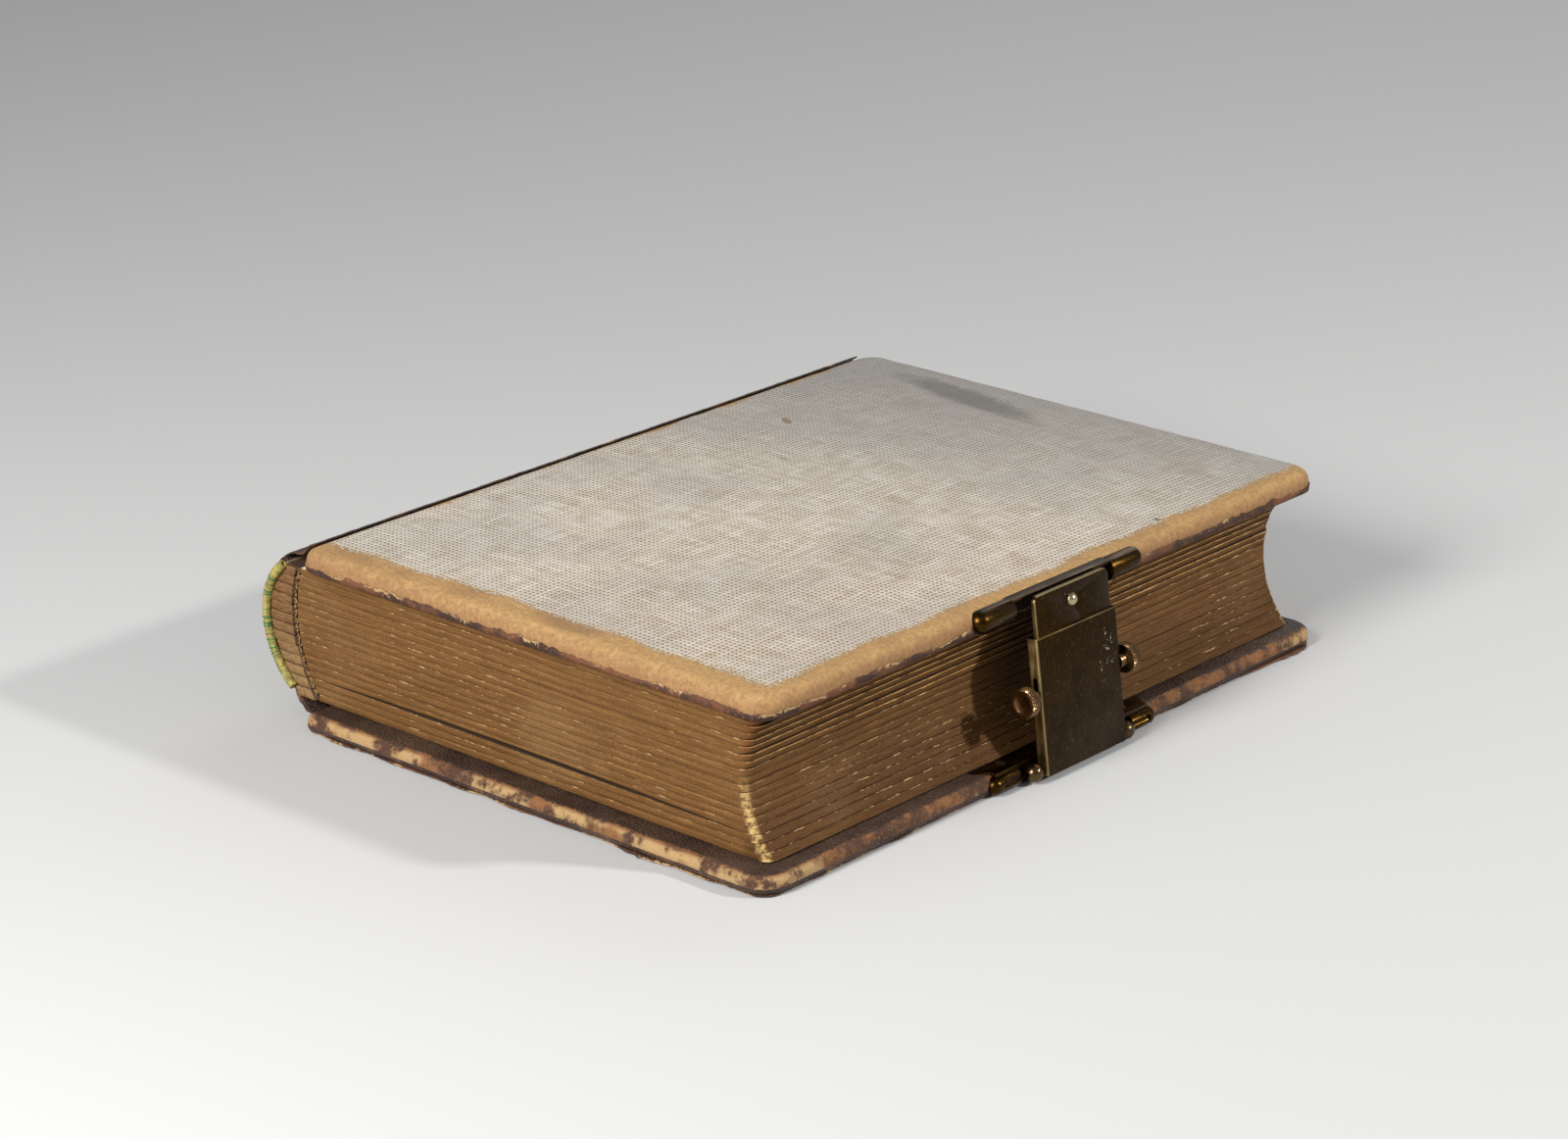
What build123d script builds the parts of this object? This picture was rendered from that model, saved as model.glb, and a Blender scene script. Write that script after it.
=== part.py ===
from build123d import *
from math import atan2, cos, radians, sin, sqrt
import os

os.makedirs("parts", exist_ok=True)

# Antique photo album with a brass clasp, lying on its back cover.
# +X runs from the spine to the fore-edge, +Y from tail to head, +Z up.
# The origin is the middle of the back cover's underside. Millimetres.

# Covers
COVER_WIDTH = 110.0
COVER_LENGTH = 155.0
COVER_CORNER = 5.0
BACK_THICKNESS = 3.7
BACK_RIM_ROUND = 1.6
FRONT_THICKNESS = 4.1
FRONT_RIM_ROUND = 2.3
FRONT_CROWN = 0.6
LEATHER = 0.5
TURN_IN = 13.0
PASTEDOWN = 0.25
PASTEDOWN_MARGIN = 6.0
CLOTH = 0.35
CLOTH_INSET_SPINE = 2.6
CLOTH_INSET_FORE = 4.6
CLOTH_INSET_TAIL = 6.0
CLOTH_INSET_HEAD = 3.0

# How far the album leans: the front cover has moved towards the spine and the head
RACK_X = -4.0
RACK_Y = 4.0

# Leaves
LEAF_COUNT = 18
LEAF = 1.36
HEAD_SQUARE = 3.7
TAIL_SQUARE = 5.3
FORE_SQUARE = 4.0
FORE_LEAN = 2.5
FORE_HOLLOW = 4.2
LEAF_CORNER = 2.2
FINE_GAP = 0.12
OPEN_GAP = 0.30
OPEN_LEAVES = 7
GAP_DEPTH = 0.8
SPLIT_ABOVE_LEAF = 3
SPLIT_HEIGHT = 0.9
SPLIT_DEPTH = 9.0
SPLIT_END_INSET = 8.0

# Stubs, spine and its leather; X values count from the back cover's spine edge
SEAM_TOP_X = -5.2
SEAM_MID_X = -6.7
SEAM_FOOT_X = -1.4
SPINE_BULGE_X = -14.6
SPINE_BULGE_Z = 18.5
SPINE_LEATHER = 0.7
SPINE_LINING = 0.4
HEAD_CAP = 2.5
ENDBAND_RADIUS = 0.8
ENDBAND_END_SHORT = 0.8
TAIL_ENDBAND_DEPTH = 0.9

# Lines about which the leather bends
FRONT_FOLD_X = -8.5
FRONT_FOLD_Z = 29.9
BACK_FOLD_X = -7.0
BACK_FOLD_Z = 4.2
FOLD_GAP = 0.3

# Brass clasp
CLASP_Y = 2.5
BAR_LENGTH = 46.0
RECESS_WIDTH = 27.0
NOTCH_DEPTH = 1.0
CATCH_BAR_RADIUS = 2.1
CATCH_LIP = 0.5
CATCH_LIP_REACH = 1.0
HINGE_BAR_RADIUS = 1.65
HINGE_BAR_GAP = 31.6
PLATE = 1.2
FLANGE = 0.4
FLANGE_REACH = 2.7
CATCH_FLANGE_REACH = 5.0
FLANGE_END_INSET = 2.5
FLANGE_FLARE = 3.2
RIVET_RADIUS = 0.6
RIVET_HEAD_RADIUS = 1.0
RIVET_SPACING = 34.0
CATCH_RIVET_DEPTH = 2.2
PIN_FORWARD = 1.9
PIN_Z = 2.1
PIN_RADIUS = 0.7
PIN_CLEARANCE = 0.05
KNUCKLE_RADIUS = 1.05
KNUCKLE_WEB = 1.0
BALL_RADIUS = 1.67
BALL_CLEARANCE = 0.2
HASP_LEAN = 7.5
SLEEVE_WIDTH = 22.2
SLEEVE_DEPTH = 2.4
SLEEVE_BACK = -0.7
SLEEVE_FOOT = -1.0
SLEEVE_TOP = 23.6
SLEEVE_FLOOR = 2.4
SLEEVE_FLOOR_THICKNESS = 0.6
SLEEVE_EDGE_ROUND = 0.4
SHEET = 0.45
TONGUE_WIDTH = 20.5
TONGUE = 0.8
TONGUE_TOP = 30.9
TONGUE_CORNER = 1.3
TONGUE_FRONT_CLEARANCE = 0.1
TONGUE_TRAVEL = 3.0
EYE_CLEARANCE = 0.05
CROSS_PIN_HEIGHT = 13.1
CROSS_PIN_RADIUS = 0.4
SLOT_CLEARANCE = 0.1
STUD_HEIGHT = 27.8
STUD_RADIUS = 1.2
STUD_DOME = 0.8
STUD_SHANK = 0.6
KNOB_RADIUS = 2.65
KNOB_THICKNESS = 2.0
KNOB_NECK_RADIUS = 1.3
KNOB_NECK = 1.8
KNOB_GAP = 0.3
KNOB_DISH_RADIUS = 4.0
KNOB_DISH_DEPTH = 0.45
KNURL_COUNT = 40
KNURL_DEPTH = 0.16

# Places worked out from the sizes above
SPINE_X = -COVER_WIDTH / 2
FORE_X = COVER_WIDTH / 2
FRONT_SPINE_X = SPINE_X + RACK_X
FRONT_FORE_X = FORE_X + RACK_X
LEAVES_BOTTOM = BACK_THICKNESS + PASTEDOWN
LEAVES_TOP = LEAVES_BOTTOM + LEAF_COUNT * LEAF
FRONT_BOTTOM = LEAVES_TOP + PASTEDOWN
FRONT_TOP = FRONT_BOTTOM + FRONT_THICKNESS
HEAD_Y = COVER_LENGTH / 2 - HEAD_SQUARE
TAIL_Y = TAIL_SQUARE - COVER_LENGTH / 2
LEAF_LENGTH = HEAD_Y - TAIL_Y
SPINE_LEATHER_LENGTH = LEAF_LENGTH + HEAD_CAP
HEAD_PLANE = Plane.XZ.offset(-HEAD_Y)
CAP_PLANE = Plane.XZ.offset(-HEAD_Y - HEAD_CAP)


def cover_outline(inset=0.0, corner=COVER_CORNER):
    """A cover's outline, square at the spine and rounded at the fore-edge."""
    with BuildSketch(mode=Mode.PRIVATE) as outline:
        Rectangle(COVER_WIDTH - 2 * inset, COVER_LENGTH - 2 * inset)
        fillet(outline.vertices().group_by(Axis.X)[-1], corner - inset)
    add(outline.sketch)


def cover_rim(part, low, high):
    """The long edges round a cover slab, at its lower and upper faces."""
    return part.edges().filter_by_position(Axis.Z, low, low) + part.edges().filter_by_position(Axis.Z, high, high)


# Back cover
CLASP_NOTCH = (NOTCH_DEPTH * 2, BAR_LENGTH)
TURN_IN_OPENING = (COVER_WIDTH - 2 * TURN_IN, COVER_LENGTH - 2 * TURN_IN)
BACK_RIVETS = [(FORE_X - NOTCH_DEPTH - FLANGE_REACH / 2, CLASP_Y + side * RIVET_SPACING / 2) for side in (-1, 1)]

with BuildPart() as back_board:
    with BuildSketch(Plane.XY.offset(LEATHER)):
        cover_outline(LEATHER)
    extrude(amount=BACK_THICKNESS - 2 * LEATHER)
    fillet(cover_rim(back_board, LEATHER, BACK_THICKNESS - LEATHER), BACK_RIM_ROUND - LEATHER)
    with BuildSketch(Plane.XY.offset(BACK_THICKNESS - LEATHER)):
        Rectangle(*TURN_IN_OPENING)
    extrude(amount=LEATHER)
    with BuildSketch():
        with Locations((FORE_X, CLASP_Y)):
            Rectangle(*CLASP_NOTCH)
    extrude(amount=BACK_THICKNESS, mode=Mode.SUBTRACT)
    with BuildSketch():
        with Locations(*BACK_RIVETS):
            Circle(RIVET_RADIUS)
    extrude(amount=BACK_THICKNESS, mode=Mode.SUBTRACT)
back_board.part.label = "back_board"
export_step(back_board.part, "parts/back_board.step")

with BuildPart() as back_leather:
    with BuildSketch():
        cover_outline()
    extrude(amount=BACK_THICKNESS)
    fillet(cover_rim(back_leather, 0, BACK_THICKNESS), BACK_RIM_ROUND)
    with BuildSketch(Plane.XZ.offset(-HEAD_Y - HEAD_CAP)):
        with BuildLine():
            outer_top = (SPINE_X + BACK_FOLD_X + FOLD_GAP, BACK_FOLD_Z - LEATHER / 2)
            outer_foot = (SPINE_X + BACK_RIM_ROUND, 0)
            outer_mid = (SPINE_X + BACK_FOLD_X / 2 + FOLD_GAP, BACK_FOLD_Z * 0.28)
            ThreePointArc(outer_foot, outer_mid, outer_top)
            inner_top = (outer_top[0] + LEATHER * 0.45, outer_top[1] + LEATHER)
            inner_mid = (outer_mid[0] + LEATHER * 0.3, outer_mid[1] + LEATHER)
            inner_foot = (SPINE_X + BACK_RIM_ROUND, LEATHER)
            Line(outer_top, inner_top)
            ThreePointArc(inner_top, inner_mid, inner_foot)
            Line(inner_foot, outer_foot)
        make_face()
    extrude(amount=SPINE_LEATHER_LENGTH)
    add(back_board.part, mode=Mode.SUBTRACT)
    with BuildSketch():
        with Locations((FORE_X, CLASP_Y)):
            Rectangle(*CLASP_NOTCH)
    extrude(amount=BACK_THICKNESS, mode=Mode.SUBTRACT)
    with BuildSketch():
        with Locations(*BACK_RIVETS):
            Circle(RIVET_RADIUS)
    extrude(amount=BACK_THICKNESS, mode=Mode.SUBTRACT)
back_leather.part.label = "back_leather"
export_step(back_leather.part, "parts/back_leather.step")

with BuildPart() as back_pastedown:
    with BuildSketch(Plane.XY.offset(BACK_THICKNESS)):
        Rectangle(COVER_WIDTH - 2 * PASTEDOWN_MARGIN, COVER_LENGTH - 2 * PASTEDOWN_MARGIN)
    extrude(amount=PASTEDOWN)
back_pastedown.part.label = "back_pastedown"
export_step(back_pastedown.part, "parts/back_pastedown.step")

# Leaves: one solid, with the gaps between the cards cut into its three free edges
FORE_FOOT = (FORE_X - FORE_SQUARE, LEAVES_BOTTOM)
FORE_HEAD = (FORE_X - FORE_SQUARE - FORE_LEAN, LEAVES_TOP)
FORE_CHORD = sqrt((FORE_FOOT[0] - FORE_HEAD[0]) ** 2 + (FORE_FOOT[1] - FORE_HEAD[1]) ** 2)
FORE_RADIUS = FORE_CHORD ** 2 / (8 * FORE_HOLLOW) + FORE_HOLLOW / 2
FORE_NORMAL = ((FORE_HEAD[1] - FORE_FOOT[1]) / FORE_CHORD, (FORE_FOOT[0] - FORE_HEAD[0]) / FORE_CHORD)
FORE_MIDDLE = ((FORE_FOOT[0] + FORE_HEAD[0]) / 2, (FORE_FOOT[1] + FORE_HEAD[1]) / 2)
FORE_CENTRE = (
    FORE_MIDDLE[0] + FORE_NORMAL[0] * (FORE_RADIUS - FORE_HOLLOW),
    FORE_MIDDLE[1] + FORE_NORMAL[1] * (FORE_RADIUS - FORE_HOLLOW),
)
SEAM = [
    (SPINE_X + SEAM_TOP_X, LEAVES_TOP),
    (SPINE_X + SEAM_MID_X, SPINE_BULGE_Z),
    (SPINE_X + SEAM_FOOT_X, LEAVES_BOTTOM),
]


def fore_edge_at(height):
    """X of the hollow fore-edge at one height."""
    return FORE_CENTRE[0] - sqrt(FORE_RADIUS ** 2 - (height - FORE_CENTRE[1]) ** 2)


with BuildPart() as leaves:
    with BuildSketch(HEAD_PLANE):
        with BuildLine():
            ThreePointArc(*SEAM)
            Line(SEAM[2], FORE_FOOT)
            hollow = (FORE_CENTRE[0] - FORE_RADIUS * FORE_NORMAL[0], FORE_CENTRE[1] - FORE_RADIUS * FORE_NORMAL[1])
            ThreePointArc(FORE_FOOT, hollow, FORE_HEAD)
            Line(FORE_HEAD, SEAM[0])
        make_face()
    extrude(amount=LEAF_LENGTH)
    fillet(leaves.faces().sort_by(Axis.X)[-1].edges().filter_by_position(Axis.Y, TAIL_Y, TAIL_Y) +
           leaves.faces().sort_by(Axis.X)[-1].edges().filter_by_position(Axis.Y, HEAD_Y, HEAD_Y), LEAF_CORNER)
    for number in range(1, LEAF_COUNT):
        gap = OPEN_GAP if number > LEAF_COUNT - OPEN_LEAVES else FINE_GAP
        height = LEAVES_BOTTOM + number * LEAF
        card_fore = fore_edge_at(height) - GAP_DEPTH
        card_width = card_fore - SPINE_X + COVER_WIDTH / 4
        with BuildSketch(Plane.XY.offset(height - gap / 2)):
            Rectangle(2 * COVER_WIDTH, 2 * COVER_LENGTH)
            with Locations((card_fore - card_width / 2, (HEAD_Y + TAIL_Y) / 2)):
                RectangleRounded(card_width, LEAF_LENGTH - 2 * GAP_DEPTH, LEAF_CORNER - GAP_DEPTH, mode=Mode.SUBTRACT)
        extrude(amount=gap, mode=Mode.SUBTRACT)
    with BuildSketch(Plane.XZ.offset(-TAIL_Y)):
        with BuildLine():
            split_z = LEAVES_BOTTOM + SPLIT_ABOVE_LEAF * LEAF
            split_start = (SPINE_X + SPLIT_END_INSET, split_z)
            split_end = (FORE_X - FORE_SQUARE - SPLIT_END_INSET, split_z)
            Line(split_start, split_end)
            ThreePointArc(split_end, ((split_start[0] + split_end[0]) / 2, split_z + SPLIT_HEIGHT), split_start)
        make_face()
    extrude(amount=-SPLIT_DEPTH, mode=Mode.SUBTRACT)
leaves.part.label = "leaves"
export_step(leaves.part, "parts/leaves.step")

# Rounded spine: two arcs that meet upright at the bulge, drawn at any depth under the leather
BULGE = (SPINE_X + SPINE_BULGE_X, SPINE_BULGE_Z)
UPPER_END = (SPINE_X + FRONT_FOLD_X - FOLD_GAP, FRONT_FOLD_Z - FOLD_GAP)
LOWER_END = (SPINE_X + BACK_FOLD_X - FOLD_GAP, BACK_FOLD_Z + FOLD_GAP)


def arc_centre(end):
    """Centre X of the arc that leaves the bulge upright and passes through one end."""
    across = end[0] - BULGE[0]
    up = end[1] - BULGE[1]
    return BULGE[0] + (across ** 2 + up ** 2) / (2 * across)


def inset_end(end, depth, trim=0.0):
    """The end of a spine arc, moved in under the leather and shortened along the arc."""
    centre_x = arc_centre(end)
    radius = centre_x - BULGE[0]
    dx = end[0] - centre_x
    dz = end[1] - BULGE[1]
    turn = trim / radius * (1 if dz > 0 else -1)
    dx, dz = dx * cos(turn) - dz * sin(turn), dx * sin(turn) + dz * cos(turn)
    scale = (radius - depth) / radius
    return (centre_x + dx * scale, BULGE[1] + dz * scale)


def spine_line(depth, trim=0.0):
    """The two spine arcs, from the bulge to the front fold and to the back fold."""
    for end in (UPPER_END, LOWER_END):
        centre_x = arc_centre(end)
        stop = inset_end(end, depth, trim)
        half = atan2(stop[1] - BULGE[1], centre_x - stop[0]) / 2
        radius = centre_x - BULGE[0] - depth
        middle = (centre_x - radius * cos(half), BULGE[1] + radius * sin(half))
        ThreePointArc((BULGE[0] + depth, BULGE[1]), middle, stop)


def spine_shell(outer_depth, inner_depth):
    """Section of a layer that follows the rounded spine."""
    with BuildSketch(mode=Mode.PRIVATE) as section:
        with BuildLine():
            spine_line(outer_depth)
            spine_line(inner_depth)
            for end in (UPPER_END, LOWER_END):
                Line(inset_end(end, outer_depth), inset_end(end, inner_depth))
        make_face()
    add(section.sketch)


with BuildPart() as spine_leather:
    with BuildSketch(CAP_PLANE):
        spine_shell(0, SPINE_LEATHER)
    extrude(amount=SPINE_LEATHER_LENGTH)
spine_leather.part.label = "spine_leather"
export_step(spine_leather.part, "parts/spine_leather.step")

with BuildPart() as spine_lining:
    with BuildSketch(HEAD_PLANE):
        spine_shell(SPINE_LEATHER, SPINE_LEATHER + SPINE_LINING)
    extrude(amount=LEAF_LENGTH)
spine_lining.part.label = "spine_lining"
export_step(spine_lining.part, "parts/spine_lining.step")

STUB_DEPTH = SPINE_LEATHER + SPINE_LINING
with BuildPart() as leaf_stubs:
    with BuildSketch(HEAD_PLANE):
        with BuildLine():
            spine_line(STUB_DEPTH)
            ThreePointArc(*SEAM)
            Line(inset_end(UPPER_END, STUB_DEPTH), SEAM[0])
            Line(inset_end(LOWER_END, STUB_DEPTH), SEAM[2])
        make_face()
    extrude(amount=LEAF_LENGTH)
leaf_stubs.part.label = "leaf_stubs"
export_step(leaf_stubs.part, "parts/leaf_stubs.step")

# The head's endband lies under the cap of leather; the tail's has come out as far as the leather's end
ENDBANDS = (
    ("head_endband", HEAD_Y + ENDBAND_RADIUS, STUB_DEPTH + ENDBAND_RADIUS),
    ("tail_endband", TAIL_Y - ENDBAND_RADIUS, TAIL_ENDBAND_DEPTH),
)
for name, band_y, depth in ENDBANDS:
    with BuildPart() as endband:
        with BuildLine(Plane.XZ.offset(-band_y)) as route:
            spine_line(depth, ENDBAND_END_SHORT)
        for stretch in route.edges():
            with BuildSketch(Plane(origin=stretch @ 0, z_dir=stretch % 0)):
                Circle(ENDBAND_RADIUS)
            sweep(path=stretch)
    endband.part.label = name
    export_step(endband.part, "parts/" + name + ".step")

# Front cover
CATCH_RIVETS = [
    (FRONT_FORE_X - NOTCH_DEPTH - CATCH_FLANGE_REACH / 2, CLASP_Y + side * RIVET_SPACING / 2) for side in (-1, 1)
]
CATCH_FLANGE = (CATCH_FLANGE_REACH, BAR_LENGTH - 2 * FLANGE_END_INSET)


def crowned(rise, mode):
    """Keep or remove what lies under the board's crowned top, raised by a small amount."""
    with BuildSketch(Plane.XZ.offset(-RACK_Y - COVER_LENGTH)) as section:
        with BuildLine():
            spine_side = (FRONT_SPINE_X, FRONT_TOP + rise)
            fore_side = (FRONT_FORE_X, FRONT_TOP + rise)
            ThreePointArc(spine_side, (RACK_X, FRONT_TOP + FRONT_CROWN + rise), fore_side)
            Polyline(fore_side, (FRONT_FORE_X, LEAVES_BOTTOM), (FRONT_SPINE_X, LEAVES_BOTTOM), spine_side)
        make_face()
    extrude(section.sketch, amount=2 * COVER_LENGTH, mode=mode)


with BuildPart() as front_board:
    with BuildSketch(Plane.XY.offset(FRONT_BOTTOM + LEATHER)):
        with Locations((RACK_X, RACK_Y)):
            cover_outline()
    extrude(amount=FRONT_THICKNESS)
    crowned(0, Mode.INTERSECT)
    fillet(front_board.faces().sort_by(Axis.Z)[-1].edges(), FRONT_RIM_ROUND)
    with BuildSketch(Plane.XY.offset(FRONT_BOTTOM)):
        with Locations((RACK_X, RACK_Y)):
            Rectangle(*TURN_IN_OPENING)
    extrude(amount=LEATHER)
    with BuildSketch(Plane.XY.offset(FRONT_BOTTOM)):
        with Locations((FRONT_FORE_X, CLASP_Y)):
            Rectangle(*CLASP_NOTCH)
    extrude(amount=2 * FRONT_THICKNESS, mode=Mode.SUBTRACT)
    with BuildSketch(Plane.XY.offset(FRONT_BOTTOM)):
        with Locations(*CATCH_RIVETS):
            Circle(RIVET_RADIUS)
    extrude(amount=CATCH_RIVET_DEPTH, mode=Mode.SUBTRACT)
front_board.part.label = "front_board"
export_step(front_board.part, "parts/front_board.step")

with BuildPart() as front_cloth:
    cloth_width = COVER_WIDTH - CLOTH_INSET_SPINE - CLOTH_INSET_FORE
    cloth_length = COVER_LENGTH - CLOTH_INSET_TAIL - CLOTH_INSET_HEAD
    cloth_x = RACK_X + (CLOTH_INSET_SPINE - CLOTH_INSET_FORE) / 2
    cloth_y = RACK_Y + (CLOTH_INSET_TAIL - CLOTH_INSET_HEAD) / 2
    with BuildSketch(Plane.XY.offset(FRONT_BOTTOM)):
        with Locations((cloth_x, cloth_y)):
            RectangleRounded(cloth_width, cloth_length, COVER_CORNER)
    extrude(amount=2 * FRONT_THICKNESS)
    crowned(CLOTH, Mode.INTERSECT)
    crowned(0, Mode.SUBTRACT)
front_cloth.part.label = "front_cloth"
export_step(front_cloth.part, "parts/front_cloth.step")

with BuildPart() as front_leather:
    with BuildSketch(Plane.XY.offset(FRONT_BOTTOM)):
        with Locations((RACK_X, RACK_Y)):
            cover_outline()
            Rectangle(*TURN_IN_OPENING, mode=Mode.SUBTRACT)
        with Locations((FRONT_FORE_X, CLASP_Y)):
            Rectangle(*CLASP_NOTCH, mode=Mode.SUBTRACT)
        with Locations((FRONT_FORE_X - NOTCH_DEPTH - CATCH_FLANGE_REACH / 2, CLASP_Y)):
            Rectangle(*CATCH_FLANGE, mode=Mode.SUBTRACT)
    extrude(amount=LEATHER)
    with BuildSketch(CAP_PLANE):
        with BuildLine():
            fold_end = (SPINE_X + FRONT_FOLD_X + FOLD_GAP, FRONT_FOLD_Z + LEATHER / 2)
            crest = (FRONT_SPINE_X, FRONT_TOP - FRONT_RIM_ROUND)
            shoulder = ((fold_end[0] + crest[0]) / 2, (fold_end[1] + crest[1]) / 2 + LEATHER)
            ThreePointArc(fold_end, shoulder, crest)
            Line(crest, (FRONT_SPINE_X, FRONT_BOTTOM))
            Line((FRONT_SPINE_X, FRONT_BOTTOM), (FRONT_SPINE_X - LEATHER, FRONT_BOTTOM))
            under_crest = (FRONT_SPINE_X - LEATHER, crest[1] - LEATHER)
            Line((FRONT_SPINE_X - LEATHER, FRONT_BOTTOM), under_crest)
            under_end = (fold_end[0] + LEATHER * 0.1, fold_end[1] - LEATHER)
            ThreePointArc(under_crest, (shoulder[0], shoulder[1] - LEATHER), under_end)
            Line(under_end, fold_end)
        make_face()
    extrude(amount=SPINE_LEATHER_LENGTH)
front_leather.part.label = "front_leather"
export_step(front_leather.part, "parts/front_leather.step")

with BuildPart() as front_pastedown:
    with BuildSketch(Plane.XY.offset(LEAVES_TOP)):
        with Locations((RACK_X, RACK_Y)):
            Rectangle(COVER_WIDTH - 2 * PASTEDOWN_MARGIN, COVER_LENGTH - 2 * PASTEDOWN_MARGIN)
    extrude(amount=PASTEDOWN)
front_pastedown.part.label = "front_pastedown"
export_step(front_pastedown.part, "parts/front_pastedown.step")


def round_ended_bars(centre_x, centre_z, radius, gap_width, back_x):
    """Two bars along the cover's edge, each rounded at its outer end and flat against the notch."""
    outer = BAR_LENGTH / 2
    inner = gap_width / 2
    with BuildSketch(Plane.XY.offset(centre_z)) as profile:
        with BuildLine():
            tip = (centre_x, CLASP_Y - outer)
            Polyline(tip, (centre_x, CLASP_Y - inner), (centre_x + radius, CLASP_Y - inner),
                     (centre_x + radius, CLASP_Y - outer + radius))
            CenterArc((centre_x, CLASP_Y - outer + radius), radius, -90, 90)
        make_face()
    revolve(profile.sketch, axis=Axis((centre_x, CLASP_Y, centre_z), (0, 1, 0)))
    mirror(about=Plane.XZ.offset(-CLASP_Y))
    with BuildSketch(Plane.XY.offset(centre_z - 2 * radius)) as behind:
        with Locations((back_x - radius, CLASP_Y)):
            Rectangle(2 * radius, 2 * BAR_LENGTH)
    extrude(behind.sketch, amount=4 * radius, mode=Mode.SUBTRACT)


def edge_box(low_x, high_x, width, low_z, high_z):
    """A rectangular stretch of a fitting, centred on the clasp."""
    with BuildSketch(Plane.XY.offset(low_z)) as section:
        with Locations(((low_x + high_x) / 2, CLASP_Y)):
            Rectangle(high_x - low_x, width)
    extrude(section.sketch, amount=high_z - low_z)


# Catch on the front cover: round-ended bars either side of the recess for the hasp
CATCH_Z = FRONT_BOTTOM + FRONT_THICKNESS / 2
CATCH_BACK_X = FRONT_FORE_X - NOTCH_DEPTH
with BuildPart() as catch:
    round_ended_bars(FRONT_FORE_X, CATCH_Z, CATCH_BAR_RADIUS, RECESS_WIDTH, CATCH_BACK_X)
    edge_box(CATCH_BACK_X, CATCH_BACK_X + PLATE, BAR_LENGTH - 2 * CATCH_BAR_RADIUS, FRONT_BOTTOM, FRONT_TOP - CATCH_LIP)
    lip_x = CATCH_BACK_X + PLATE + CATCH_LIP_REACH
    edge_box(CATCH_BACK_X, lip_x, RECESS_WIDTH, FRONT_TOP - CATCH_LIP, FRONT_TOP)
    edge_box(CATCH_BACK_X - CATCH_FLANGE_REACH, CATCH_BACK_X, CATCH_FLANGE[1], FRONT_BOTTOM, FRONT_BOTTOM + LEATHER)
    with BuildSketch(Plane.XY.offset(FRONT_BOTTOM)):
        with Locations(*CATCH_RIVETS):
            Circle(RIVET_RADIUS)
    extrude(amount=LEATHER, mode=Mode.SUBTRACT)
catch.part.label = "catch"
export_step(catch.part, "parts/catch.step")

with BuildPart() as catch_rivets:
    with BuildSketch(Plane.XY.offset(FRONT_BOTTOM)):
        with Locations(*CATCH_RIVETS):
            Circle(RIVET_RADIUS)
    extrude(amount=CATCH_RIVET_DEPTH)
catch_rivets.part.label = "catch_rivets"
export_step(catch_rivets.part, "parts/catch_rivets.step")

# Hinge fitting on the back cover
HINGE_Z = BACK_THICKNESS / 2
HINGE_BACK_X = FORE_X - NOTCH_DEPTH
PIN_X = FORE_X + PIN_FORWARD
KNUCKLE_WIDTH = SLEEVE_WIDTH - 2 * SHEET - 2 * FOLD_GAP
PIN_AXIS = Axis((PIN_X, CLASP_Y, PIN_Z), (0, 1, 0))
PIN_PLANE = Plane(origin=(PIN_X, CLASP_Y, PIN_Z), x_dir=(1, 0, 0), z_dir=(0, -1, 0))

with BuildPart() as hinge_plate:
    round_ended_bars(FORE_X, HINGE_Z, HINGE_BAR_RADIUS, HINGE_BAR_GAP, HINGE_BACK_X)
    edge_box(HINGE_BACK_X, HINGE_BACK_X + PLATE, BAR_LENGTH - 2 * HINGE_BAR_RADIUS, HINGE_Z - HINGE_BAR_RADIUS,
             BACK_THICKNESS + FLANGE)
    with BuildSketch(Plane.XY.offset(BACK_THICKNESS)):
        with BuildLine():
            flange_back = HINGE_BACK_X - FLANGE_REACH
            flange_front = HINGE_BACK_X + PLATE
            flange_half = BAR_LENGTH / 2 - FLANGE_END_INSET
            Polyline((flange_back, CLASP_Y - flange_half - FLANGE_FLARE), (flange_front, CLASP_Y - flange_half),
                     (flange_front, CLASP_Y + flange_half), (flange_back, CLASP_Y + flange_half + FLANGE_FLARE),
                     close=True)
        make_face()
    extrude(amount=FLANGE)
    edge_box(HINGE_BACK_X, PIN_X, KNUCKLE_WIDTH, PIN_Z - KNUCKLE_WEB / 2, PIN_Z + KNUCKLE_WEB / 2)
    with BuildSketch(PIN_PLANE):
        Circle(KNUCKLE_RADIUS)
    extrude(amount=KNUCKLE_WIDTH / 2, both=True)
    with BuildSketch(PIN_PLANE):
        Circle(PIN_RADIUS)
    extrude(amount=KNUCKLE_WIDTH, both=True, mode=Mode.SUBTRACT)
    with Locations(*[(x, y, BACK_THICKNESS + FLANGE) for x, y in BACK_RIVETS]):
        CounterSinkHole(RIVET_RADIUS, RIVET_HEAD_RADIUS, depth=FLANGE)
hinge_plate.part.label = "hinge_plate"
export_step(hinge_plate.part, "parts/hinge_plate.step")

with BuildPart() as hinge_plate_rivets:
    for x, y in BACK_RIVETS:
        with BuildSketch(Plane(origin=(x, y, 0), x_dir=(1, 0, 0), z_dir=(0, -1, 0))):
            with BuildLine():
                neck_z = BACK_THICKNESS + FLANGE - (RIVET_HEAD_RADIUS - RIVET_RADIUS)
                Polyline((0, 0), (RIVET_RADIUS, 0), (RIVET_RADIUS, neck_z),
                         (RIVET_HEAD_RADIUS, BACK_THICKNESS + FLANGE), (0, BACK_THICKNESS + FLANGE), close=True)
            make_face()
        revolve(axis=Axis((x, y, 0), (0, 0, 1)))
hinge_plate_rivets.part.label = "hinge_plate_rivets"
export_step(hinge_plate_rivets.part, "parts/hinge_plate_rivets.step")

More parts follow.
